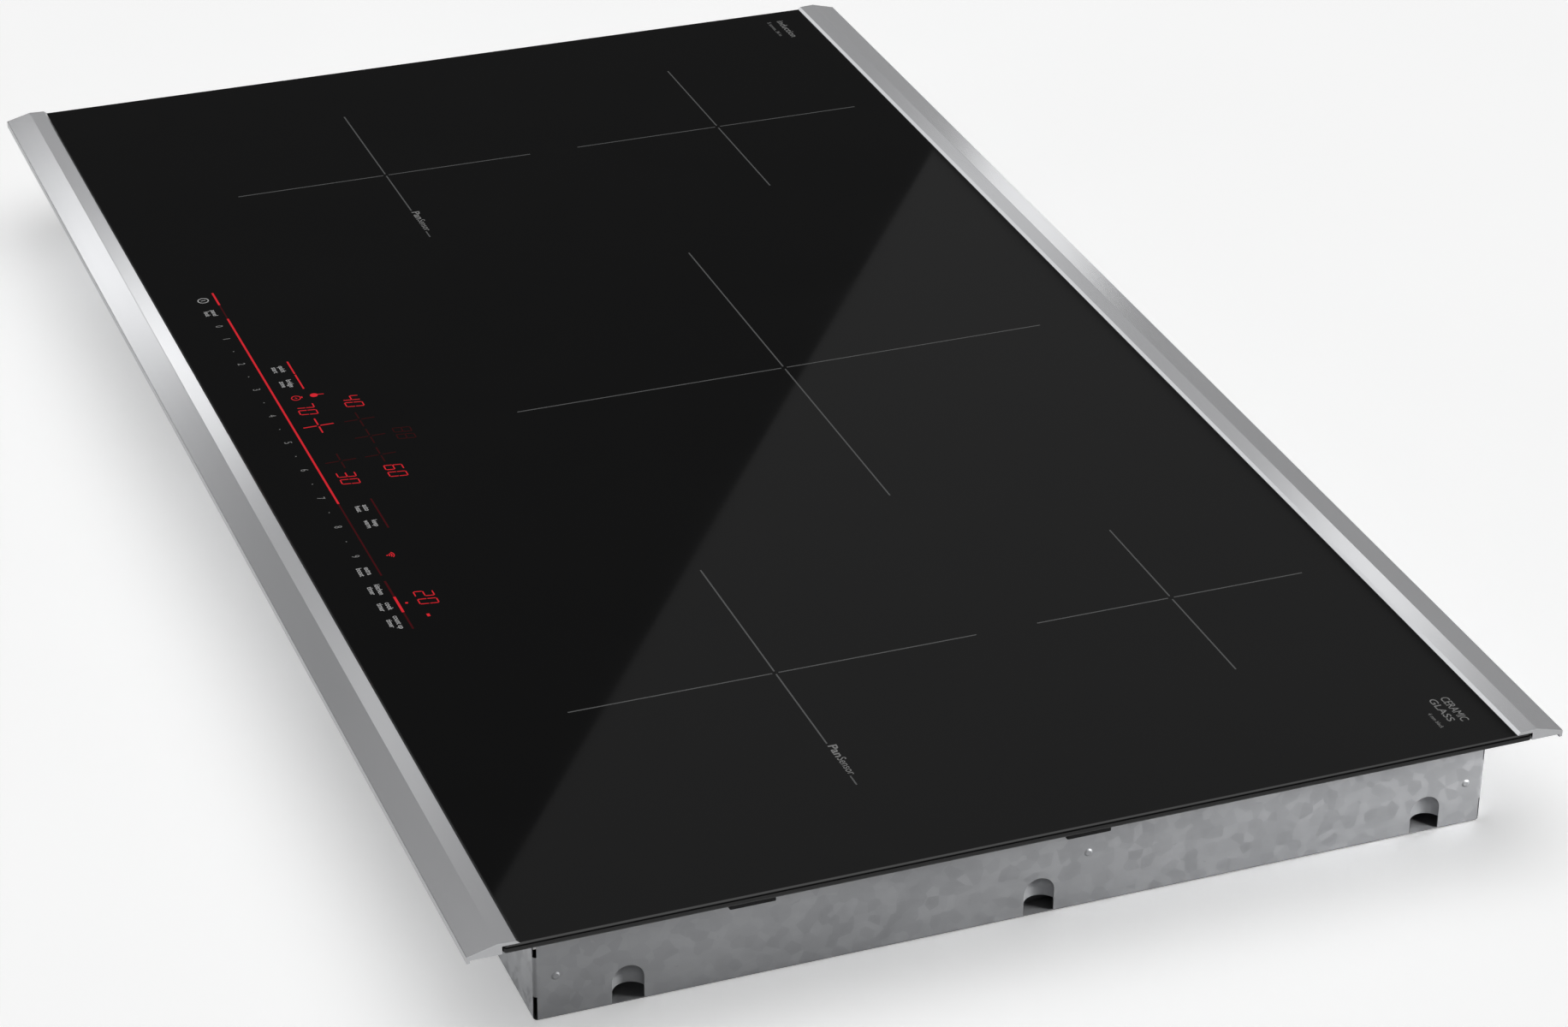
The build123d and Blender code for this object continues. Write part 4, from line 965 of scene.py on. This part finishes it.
# %% The heat scale
scale_y = -220.0
scale_zero = -152.1
scale_one = -135.8
scale_step = 31.97
scale_look = {"size": 5.8, "stretch_by": 0.8, "heavy": 0.03}

digits = [word("0", scale_zero, scale_y, **scale_look)]
for step in range(9):
    digits.append(word(str(step + 1), scale_one + scale_step * step, scale_y, **scale_look))
add_piece("scale_numbers", merge("scale_numbers", digits), grey_ink)
halves = [disc(scale_one + scale_step * (step + 0.5), scale_y, 0.4, 12) for step in range(8)]
add_piece("scale_dots", plates_to_mesh("scale_dots", halves), grey_ink)
print(len(digits), "numbers and", len(halves), "dots")

# %% [markdown]
# ### Legends
# A legend says in two words what happens where the glass is touched. Each row gives the middle of the
# legend and its two lines. The power mark is drawn, not written: a ring with a stroke in it.

# %% Legends
legend_pitch = 4.0
legend_words = (
    (-169.2, -220.3, "panel", "lock"),
    (-90.7, -202.7, "quick", "start"),
    (-73.0, -203.0, "bridge", "zone"),
    (73.4, -202.9, "auto", "heat"),
    (90.3, -202.8, "keep", "warm"),
    (136.1, -220.0, "extra", "boost"),
    (155.6, -220.0, "kitchen", "timer"),
    (172.7, -220.0, "cook", "timer"),
    (189.2, -220.0, "count up", "timer"),
)
legends = []
for x, y, upper, lower in legend_words:
    for line, line_y in ((upper, y + legend_pitch / 2), (lower, y - legend_pitch / 2)):
        legends.append(word(line, x, line_y, size=4.1, stretch_by=0.88, heavy=0.05))
add_piece("touch_legends", merge("touch_legends", legends), white_ink)
print(len(legend_words), "legends")

power_x, power_y = -186.1, -220.2
power_mark = arc_band(power_x, power_y, 2.9, 0.6) + [bar(power_x, power_y, 2.6, 0.6, 90)]
add_piece("power_mark", plates_to_mesh("power_mark", power_mark), white_ink)

# %% [markdown]
# ### Labels and corner marks
# Two zones can watch the pan, and their crosses say so in the room left in one arm. The two far corners
# of the glass carry small marks, here in plain words.

# %% Sensor labels
label_inset = 1.5
label_drop = 0.4
label_pitch = 11.6
label_look = {"size": 6.2, "stretch_by": 1, "across": "LEFT", "upright": "BOTTOM_BASELINE"}

labels = []
for zone in sensing_zones:
    start_x = (zone_centre[zone].x + zone_arm[zone]) / mm - label_room + label_inset
    base_y = zone_centre[zone].y / mm - label_drop
    labels.append(word("Pan", start_x, base_y, heavy=0.12, width=10.6, **label_look))
    labels.append(word("Sensor", start_x + label_pitch, base_y, width=15.2, **label_look))
add_piece("sensor_labels", merge("sensor_labels", labels), grey_ink)
print("labels on:", sensing_zones)

# %% Corner marks
marks = [
    word("induction", -441.0, 227.8, 6.4, heavy=0.05, width=27.0),
    word("5 zones, 36 in", -443.0, 220.4, 3.4, width=23.0),
    word("CERAMIC", 437.4, 229.6, 6.2, heavy=0.04, width=22.0),
    word("GLASS", 436.2, 223.4, 5.4, heavy=0.04, width=20.5),
    word("4 mm black", 443.7, 216.4, 3.0, width=13.5),
]
add_piece("corner_marks", merge("corner_marks", marks), grey_ink)
print(len(marks), "words in the corners")

# %% [markdown]
# ### Seven-segment numbers
# A lit number is seven short bars, of which a digit shows some. The bars lean a little to the right,
# so the digit is drawn upright and then sheared.

# %% Seven-segment numbers
segments_lit = {
    "0": "abcdef", "2": "abged", "3": "abgcd", "4": "fgbc", "6": "afgecd", "7": "abc", "8": "abcdefg",
}
digit_width = 4.8
digit_height = 9.2
digit_pitch = 7.7
stroke = 0.62
segment_gap = 0.25
lean = math.tan(math.radians(9))
segment_bars = {
    "a": (0, digit_height / 2, 0),
    "b": (digit_width / 2, digit_height / 4, 90),
    "c": (digit_width / 2, -digit_height / 4, 90),
    "d": (0, -digit_height / 2, 0),
    "e": (-digit_width / 2, -digit_height / 4, 90),
    "f": (-digit_width / 2, digit_height / 4, 90),
    "g": (0, 0, 0),
}


def segment(x, y, turn, length):
    """One bar with pointed ends."""
    half, tip = length / 2, stroke / 2
    lower = [(-half, 0), (-half + tip, -tip), (half - tip, -tip)]
    upper = [(half, 0), (half - tip, tip), (-half + tip, tip)]
    return turned(lower + upper, x, y, turn)


def number(text, x, y):
    """A seven-segment number centred on (x, y)."""
    plates = []
    for place, sign in enumerate(text):
        middle = (place - (len(text) - 1) / 2) * digit_pitch
        for letter in segments_lit[sign]:
            dx, dy, turn = segment_bars[letter]
            length = (digit_width if turn == 0 else digit_height / 2) - segment_gap
            plates.append([(x + middle + a + b * lean, y + b) for a, b in segment(dx, dy, turn, length)])
    return plates


# %% Numbers that are lit
display_low, display_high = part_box("display_modules")
print("displays reach in mm:", [round(v / mm) for v in (*display_low.xy, *display_high.xy)])
lit = number("70", -41.4, -200.6) + number("40", -42.0, -175.0) + number("60", 40.2, -175.2)
lit += number("30", 39.8, -200.7) + number("20", 170.6, -198.3)
print("lit bars in the numbers:", len(lit))

# %% [markdown]
# ### Slider lights and small signs
# The slider is a row of straight lights: bright up to the chosen heat, dim past it. Small signs stand
# near the numbers they belong to: a clock, a pan with its handle, and three arcs over a dot.

# %% Slider lights
slider_y = -213.0
button_y = -195.7


def light_bar(x_from, x_to, y=slider_y, width=1.1):
    """A straight light from one x to another."""
    return bar((x_from + x_to) / 2, y, x_to - x_from, width)


lit += [light_bar(-193.7, -177.8), light_bar(-159.6, 64.7), light_bar(165.0, 180.8, width=1.3)]
lit += [light_bar(-98.2, -82.9, button_y, 0.9), light_bar(-81.9, -64.5, button_y, 0.9)]

# %% Small signs
clock_x = -55.3
pan_x = -55.5
arcs_x, arcs_y = 124.3, -204.6
clock_face = arc_band(clock_x, -202.5, 2.4, 0.5)
clock_hand = bar(clock_x, -202.5, 1.4, 0.5, 40)
clock_knob = bar(clock_x, -199.3, 1.6, 0.7)
pan = disc(pan_x, -192.6, 2.1)
pan_handle = bar(pan_x, -188.9, 3.4, 0.6, 80)
lit += clock_face + [clock_hand, clock_knob, pan, pan_handle, disc(arcs_x, arcs_y, 0.5, 10)]
for arc_radius in (1.3, 2.4, 3.5):
    lit += arc_band(arcs_x, arcs_y, arc_radius, 0.55, 45, 135, 8)
lit += [disc(172.7, -208.9, 0.8, 12), bar(187.5, -202.2, 2.6, 1.5)]
add_piece("lit_signs", plates_to_mesh("lit_signs", lit), bright_red)
print("lit plates:", len(lit))

# %% Dim lights
dim = [light_bar(-177.5, -160.3, width=0.8), light_bar(64.9, 142.7, width=0.9), light_bar(148.6, 164.8)]
dim += [light_bar(181.0, 197.7, width=1.0), light_bar(65.0, 97.1, -195.9, 0.9)]
add_piece("dim_signs", plates_to_mesh("dim_signs", dim), dim_red)
faint = number("88", 1.9, -159.3)
add_piece("faint_signs", plates_to_mesh("faint_signs", faint), faint_red)
print("dim plates:", len(dim), "and faint ones:", len(faint))

# %% [markdown]
# ### The zone map
# Five small crosses lie as the zones do on the glass. The one that is being set is bright.

# %% The zone map
map_crosses = {
    "selected": (-21.0, -199.6),
    "left_rear": (-20.5, -177.3),
    "centre": (-0.7, -177.2),
    "right_rear": (20.9, -177.8),
    "right_front": (20.7, -199.3),
}
map_arm = 8.3
map_gap = 1.0
map_line = 0.8
for zone, (x, y) in map_crosses.items():
    mesh = grow(cross_tree, "map_cross_" + zone, Arm=map_arm * mm, Gap=map_gap * mm, Width=map_line * mm,
                Thickness=ink_thickness, Ink=bright_red if zone == "selected" else faint_red)
    placed(mesh, x * mm, y * mm, ink_middle)
    add_piece("map_cross_" + zone, mesh, None)

# %% [markdown]
# ## Winding the coils
# Each coil is one long spiral of litz wire, which is itself a rope of fine enamelled strands. A tree
# draws the spiral, carries an oval section along it, and leaves two attributes on the skin: how far
# along the wire a point lies, and how far around it. The material reads both to draw the strands, and
# darkens the copper in the grooves between them as painted shade.

# %% Litz wire
litz_copper, litz_tree, litz_shader = finish("litz_copper", Metallic=0.75, Roughness=0.38, Coat_Weight=0.4)
along_wire = join(litz_tree, "ShaderNodeAttribute", attribute_name="along").outputs["Fac"]
round_wire = join(litz_tree, "ShaderNodeAttribute", attribute_name="around").outputs["Fac"]
strand_count = 9.0
strand_lay = 0.016
strand_depth = 1.5e-4
strands_around = maths(litz_tree, "MULTIPLY", round_wire, strand_count)
strands_along = maths(litz_tree, "DIVIDE", along_wire, strand_lay / strand_count)
strand_turn = maths(litz_tree, "ADD", strands_around, strands_along)
strand_height_and_groove_shade = maths(litz_tree, "MULTIPLY", maths(litz_tree, "PINGPONG", strand_turn, 0.5), 2.0)
# Painted shade: the copper is light on the strand crowns and dark in the grooves between strands, following
# the same height that feeds the bump.
copper_with_painted_groove_shade = blend_colour(litz_tree, strand_height_and_groove_shade, (0.20, 0.060, 0.020), (0.66, 0.270, 0.110))
litz_tree.links.new(copper_with_painted_groove_shade, litz_shader.inputs["Base Color"])
raise_bumps(litz_tree, litz_shader, strand_height_and_groove_shade, strand_depth)
print("strands show on the skin:", strand_count)

# %% A tree that winds a spiral
winding_tree, wind_in, wind_end = new_tree("wire_spiral", [
    ("Inner", "Float", 0.02),
    ("Outer", "Float", 0.09),
    ("Turns", "Float", 10.0),
    ("Rise", "Float", 0.0),
    ("Half Width", "Float", 0.002),
    ("Half Height", "Float", 0.002),
    ("Steps", "Int", 64),
    ("Sides", "Int", 8),
    ("Wire", "Material", None),
])
spiral = join(winding_tree, "GeometryNodeCurveSpiral", {
    "Resolution": wind_in["Steps"],
    "Rotations": wind_in["Turns"],
    "Start Radius": wind_in["Inner"],
    "End Radius": wind_in["Outer"],
    "Height": wind_in["Rise"],
})
section = join(winding_tree, "GeometryNodeCurvePrimitiveCircle", {
    "Resolution": wind_in["Sides"],
}, Radius=1.0)
oval = join(winding_tree, "ShaderNodeCombineXYZ", {
    "X": wind_in["Half Width"],
    "Y": wind_in["Half Height"],
}, Z=1.0)
sized = join(winding_tree, "GeometryNodeTransform", {
    "Geometry": section.outputs["Curve"],
    "Scale": oval.outputs["Vector"],
})


def marked(tree, geometry, name, output):
    """Stores the spline parameter on a curve under a name."""
    measure = tree.nodes.new("GeometryNodeSplineParameter")
    store = tree.nodes.new("GeometryNodeStoreNamedAttribute")
    store.inputs["Name"].default_value = name
    tree.links.new(geometry, store.inputs["Geometry"])
    tree.links.new(measure.outputs[output], store.inputs["Value"])
    return store.outputs["Geometry"]


wire_skin = join(winding_tree, "GeometryNodeCurveToMesh", {
    "Curve": marked(winding_tree, spiral.outputs["Curve"], "along", "Length"),
    "Profile Curve": marked(winding_tree, sized.outputs["Geometry"], "around", "Factor"),
})
wire_skin.inputs["Fill Caps"].default_value = True
close_tree(winding_tree, wire_skin.outputs["Mesh"], wind_in["Wire"], wind_end)
print(winding_tree.name, "has", len(winding_tree.nodes), "nodes")

# %% [markdown]
# ### The five coils
# The windings fill the ring that the frame gives them. Turns lie one pitch apart, and the wire is drawn
# a little slimmer than the pitch, so neighbouring turns stay apart. Large coils have a wider eye.

# %% Wind the five coils
litz_pitch = 4.4 * mm
litz_fill = 0.47
litz_height_fill = 0.48
small_eye = 16 * mm
large_eye = 22 * mm
large_coil_radius = 100 * mm
for zone in zones:
    winding_low, winding_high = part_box("coil_winding_" + zone)
    winding_middle = (winding_low + winding_high) / 2
    outer = (winding_high.x - winding_low.x) / 2
    inner = small_eye if outer < large_coil_radius else large_eye
    turns = round((outer - inner) / litz_pitch)
    mesh = grow(winding_tree, "litz_winding_" + zone, Inner=inner + litz_pitch / 2,
                Outer=outer - litz_pitch / 2, Turns=turns - 1.0, Half_Width=litz_pitch * litz_fill,
                Half_Height=(winding_high.z - winding_low.z) * litz_height_fill,
                Steps=64, Sides=8, Wire=litz_copper)
    placed(mesh, *winding_middle)
    piece = add_piece("litz_winding_" + zone, mesh, None)
    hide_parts("coil_winding_" + zone)
    print(zone, turns, "turns,", len(mesh.polygons), "faces")

# %% [markdown]
# ### Springs
# The same tree makes the compression springs: with equal radii and a rise, a spiral is a helix. One
# spring is grown and then set out on the three places of each coil by a second, very small tree. Each
# place lies midway between two ferrite bars, of which the largest coil has twelve and the others eight.

# %% One spring
spring_low, spring_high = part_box("coil_springs")
spring_wire = 0.45 * mm
spring_radius = 4.0 * mm
spring_rise = spring_high.z - spring_low.z - 2 * spring_wire
one_spring = grow(winding_tree, "one_spring", Inner=spring_radius, Outer=spring_radius, Turns=3.0,
                  Rise=spring_rise, Half_Width=spring_wire, Half_Height=spring_wire,
                  Steps=20, Sides=6, Wire=screw_zinc)
print("one spring has", len(one_spring.polygons), "faces")

# %% A tree that sets copies on places
places_tree, places_in, places_end = new_tree("set_on_places", [
    ("What", "Object", None),
    ("Metal", "Material", None),
])
what = join(places_tree, "GeometryNodeObjectInfo", {"Object": places_in["What"]})
facing = join(places_tree, "GeometryNodeInputNamedAttribute", data_type="FLOAT_VECTOR", Name="facing")
copies = join(places_tree, "GeometryNodeInstanceOnPoints", {
    "Points": places_in["Geometry"],
    "Instance": what.outputs["Geometry"],
    "Rotation": facing.outputs["Attribute"],
})
close_tree(places_tree, copies.outputs["Instances"], places_in["Metal"], places_end)


def points_mesh(name, points, turns):
    """Bare points, each with the turn that its copy takes."""
    mesh = bpy.data.meshes.new(name)
    mesh.from_pydata([tuple(point) for point in points], [], [])
    facing_of = mesh.attributes.new("facing", "FLOAT_VECTOR", "POINT")
    for index, turn in enumerate(turns):
        facing_of.data[index].vector = turn
    return mesh


def set_out(name, model, points, turns, *replaced):
    """Zinc-coated copies of a model on points, as one piece that stands for CAD nodes."""
    holder = bpy.data.objects.new(name + "_model", model)
    base = points_mesh(name + "_points", points, turns)
    mesh = grow(places_tree, name, base, What=holder, Metal=screw_zinc)
    bpy.data.objects.remove(holder)
    piece = add_piece(name, mesh, None)
    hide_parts(*replaced)
    print(name, len(points), "copies,", len(mesh.polygons), "faces")


# %% Springs under the coils
ferrites_small = 8
ferrites_large = 12
gaps_small = (0, 3, 5)
gaps_large = (0, 4, 8)
large_zone_arm = 120 * mm
spring_inset = 12 * mm
spring_points = []
for zone in zones:
    is_large = zone_arm[zone] > large_zone_arm
    count = ferrites_large if is_large else ferrites_small
    ring = zone_arm[zone] - spring_inset
    for gap in gaps_large if is_large else gaps_small:
        turn = math.radians((gap + 0.5) * 360 / count)
        spring_x = zone_centre[zone].x + ring * math.cos(turn)
        spring_y = zone_centre[zone].y + ring * math.sin(turn)
        spring_points.append((spring_x, spring_y, spring_low.z + spring_wire))
set_out("wire_springs", one_spring, spring_points, [(0, 0, 0)] * len(spring_points), "coil_springs")

# %% [markdown]
# ## Screws
# All the screws come from one tree: a head with a sloping edge, a shank, and a cross recess cut out by
# a boolean. The head size, shank and recess are inputs, so tray, plate and board screws differ only in
# numbers.

# %% A tree that makes a cross-head screw
screw_tree, screw_in, screw_end = new_tree("cross_screw", [
    ("Head Radius", "Float", 0.0036),
    ("Head Height", "Float", 0.002),
    ("Shank Radius", "Float", 0.0016),
    ("Shank Length", "Float", 0.006),
    ("Recess Width", "Float", 0.001),
    ("Metal", "Material", None),
])
head_sides = 28
shank_sides = 16


def lifted(geometry, height):
    """Moves geometry up inside the tree."""
    shift = join(screw_tree, "ShaderNodeCombineXYZ", {"Z": height})
    moved = join(screw_tree, "GeometryNodeTransform", {
        "Geometry": geometry,
        "Translation": shift.outputs["Vector"],
    })
    return moved.outputs["Geometry"]


def screw_cone(low_radius, high_radius, height, foot, sides):
    """A cone or cylinder that stands on the height foot."""
    cone = join(screw_tree, "GeometryNodeMeshCone", {
        "Radius Bottom": low_radius,
        "Radius Top": high_radius,
        "Depth": height,
    }, Vertices=sides)
    return lifted(cone.outputs["Mesh"], foot)


# %% Head and shank
head_split = maths(screw_tree, "MULTIPLY", screw_in["Head Height"], 0.6)
head_rest = maths(screw_tree, "MULTIPLY", screw_in["Head Height"], 0.4)
crown_radius = maths(screw_tree, "MULTIPLY", screw_in["Head Radius"], 0.72)
shank_foot = maths(screw_tree, "MULTIPLY", screw_in["Shank Length"], -1.0)
screw_body = join(screw_tree, "GeometryNodeMeshBoolean", operation="UNION", solver="EXACT")
head_rim = screw_cone(screw_in["Head Radius"], screw_in["Head Radius"], head_split, 0.0, head_sides)
head_crown = screw_cone(screw_in["Head Radius"], crown_radius, head_rest, head_split, head_sides)
shank = screw_cone(screw_in["Shank Radius"], screw_in["Shank Radius"], screw_in["Shank Length"],
                   shank_foot, shank_sides)
for solid in (head_rim, head_crown, shank):
    screw_tree.links.new(solid, screw_body.inputs["Mesh 2"])

# %% Cross recess
recess_length = maths(screw_tree, "MULTIPLY", screw_in["Head Radius"], 1.1)
recess_depth = maths(screw_tree, "MULTIPLY", screw_in["Head Height"], 1.3)
recessed = join(screw_tree, "GeometryNodeMeshBoolean", {
    "Mesh 1": screw_body.outputs["Mesh"],
}, operation="DIFFERENCE", solver="EXACT")
recess_width = screw_in["Recess Width"]
for slot_x, slot_y in ((recess_length, recess_width), (recess_width, recess_length)):
    slot_size = join(screw_tree, "ShaderNodeCombineXYZ", {"X": slot_x, "Y": slot_y, "Z": recess_depth})
    block = join(screw_tree, "GeometryNodeMeshCube", {"Size": slot_size.outputs["Vector"]})
    screw_tree.links.new(lifted(block.outputs["Mesh"], screw_in["Head Height"]), recessed.inputs["Mesh 2"])
close_tree(screw_tree, recessed.outputs["Mesh"], screw_in["Metal"], screw_end)
print(screw_tree.name, "has", len(screw_tree.nodes), "nodes")

# %% [markdown]
# ### Tray, plate and board screws
# Five screws along the front and five along the rear hold the tray to its frame, with their heads
# outwards. Plates and boards have one in each corner, and a real screw never stops at the same angle
# as its neighbour, so each copy is turned a little further than the one before.

# %% Screws in the walls
screws_low, screws_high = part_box("tray_screws")
tray_head_radius = (screws_high.z - screws_low.z) / 2
tray_head_height = 2 * mm
screws_per_wall = 5
wall_screw = grow(screw_tree, "wall_screw", Head_Radius=tray_head_radius, Head_Height=tray_head_height,
                  Shank_Radius=1.65 * mm, Shank_Length=6 * mm, Recess_Width=1.0 * mm, Metal=screw_zinc)
screw_pitch = (screws_high.x - screws_low.x - 2 * tray_head_radius) / (screws_per_wall - 1)
screw_xs = [screws_low.x + tray_head_radius + i * screw_pitch for i in range(screws_per_wall)]
screw_ys = (screws_low.y + tray_head_height, screws_high.y - tray_head_height)
screw_z = (screws_high.z + screws_low.z) / 2
wall_points = [(x, y, screw_z) for y in screw_ys for x in screw_xs]
wall_turns = [(math.copysign(math.pi / 2, -y), 0, 0) for _, y, _ in wall_points]
set_out("wall_screws", wall_screw, wall_points, wall_turns, "tray_screws")


# %% Screws in plates and boards
def corners_of(node, inset):
    """The four corners of a node's box in plan, moved in by the inset."""
    low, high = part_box(node)
    return [(x, y) for x in (low.x + inset, high.x - inset) for y in (low.y + inset, high.y - inset)]


def corner_screws(name, screw, insets, head_height, turn_step, replaced):
    """A screw in each corner of the nodes that insets names, each turned a step further."""
    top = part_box(replaced)[1].z
    places = [corner for node, inset in insets.items() for corner in corners_of(node, inset)]
    points = [(x, y, top - head_height) for x, y in places]
    set_out(name, screw, points, [(0, 0, turn_step * i) for i in range(len(points))], replaced)


plate_head_height = 2 * mm
plate_insets = {"coil_plate_left": 8 * mm, "coil_plate_centre": 8 * mm, "coil_plate_right": 8 * mm}
plate_screw = grow(screw_tree, "plate_screw", Head_Radius=3.6 * mm, Head_Height=plate_head_height,
                   Shank_Radius=1.6 * mm, Shank_Length=7.5 * mm, Recess_Width=1.0 * mm, Metal=screw_zinc)
corner_screws("plate_cross_screws", plate_screw, plate_insets, plate_head_height, 0.7, "plate_screws")

board_head_height = 1.8 * mm
board_insets = {"power_board_left": 7 * mm, "power_board_right": 7 * mm, "filter_board": 5 * mm}
board_screw = grow(screw_tree, "board_screw", Head_Radius=3 * mm, Head_Height=board_head_height,
                   Shank_Radius=1.2 * mm, Shank_Length=5 * mm, Recess_Width=0.8 * mm, Metal=screw_zinc)
corner_screws("board_cross_screws", board_screw, board_insets, board_head_height, 0.9, "board_screws")

# %% [markdown]
# ## The floor
# A pale sheet, wide enough to reach past every view. To the camera it glows a little, so that it meets
# the backdrop without an edge, while other rays still see plain pale paint.

# %% The floor
floor_reach = 30.0
floor_glow = 0.30
floor_corners = [(-floor_reach, -floor_reach, 0), (floor_reach, -floor_reach, 0),
                 (floor_reach, floor_reach, 0), (-floor_reach, floor_reach, 0)]
floor_mesh = bpy.data.meshes.new("floor")
floor_mesh.from_pydata(floor_corners, [], [(0, 1, 2, 3)])
floor = bpy.data.objects.new("floor", floor_mesh)
scene.collection.objects.link(floor)
floor_paint, floor_tree, floor_shader = finish("floor_paint", Roughness=0.9, Specular_IOR_Level=0.1)
floor_grain = use(floor_tree, moulded_skin, place_of(floor_tree), Grain_Size=0.004, Flow_Size=0.5)
floor_colour = blend_colour(floor_tree, floor_grain["Flow"], (0.88, 0.88, 0.88), (0.92, 0.92, 0.92))
floor_tree.links.new(floor_colour, floor_shader.inputs["Base Color"])
floor_eye = join(floor_tree, "ShaderNodeLightPath").outputs["Is Camera Ray"]
glow = ranged(floor_tree, floor_eye, 0.0, floor_glow)
floor_tree.links.new(glow, floor_shader.inputs["Emission Strength"])
floor_shader.inputs["Emission Color"].default_value = (1, 1, 1, 1)
floor_mesh.materials.append(floor_paint)
print("floor side in m:", 2 * floor_reach)
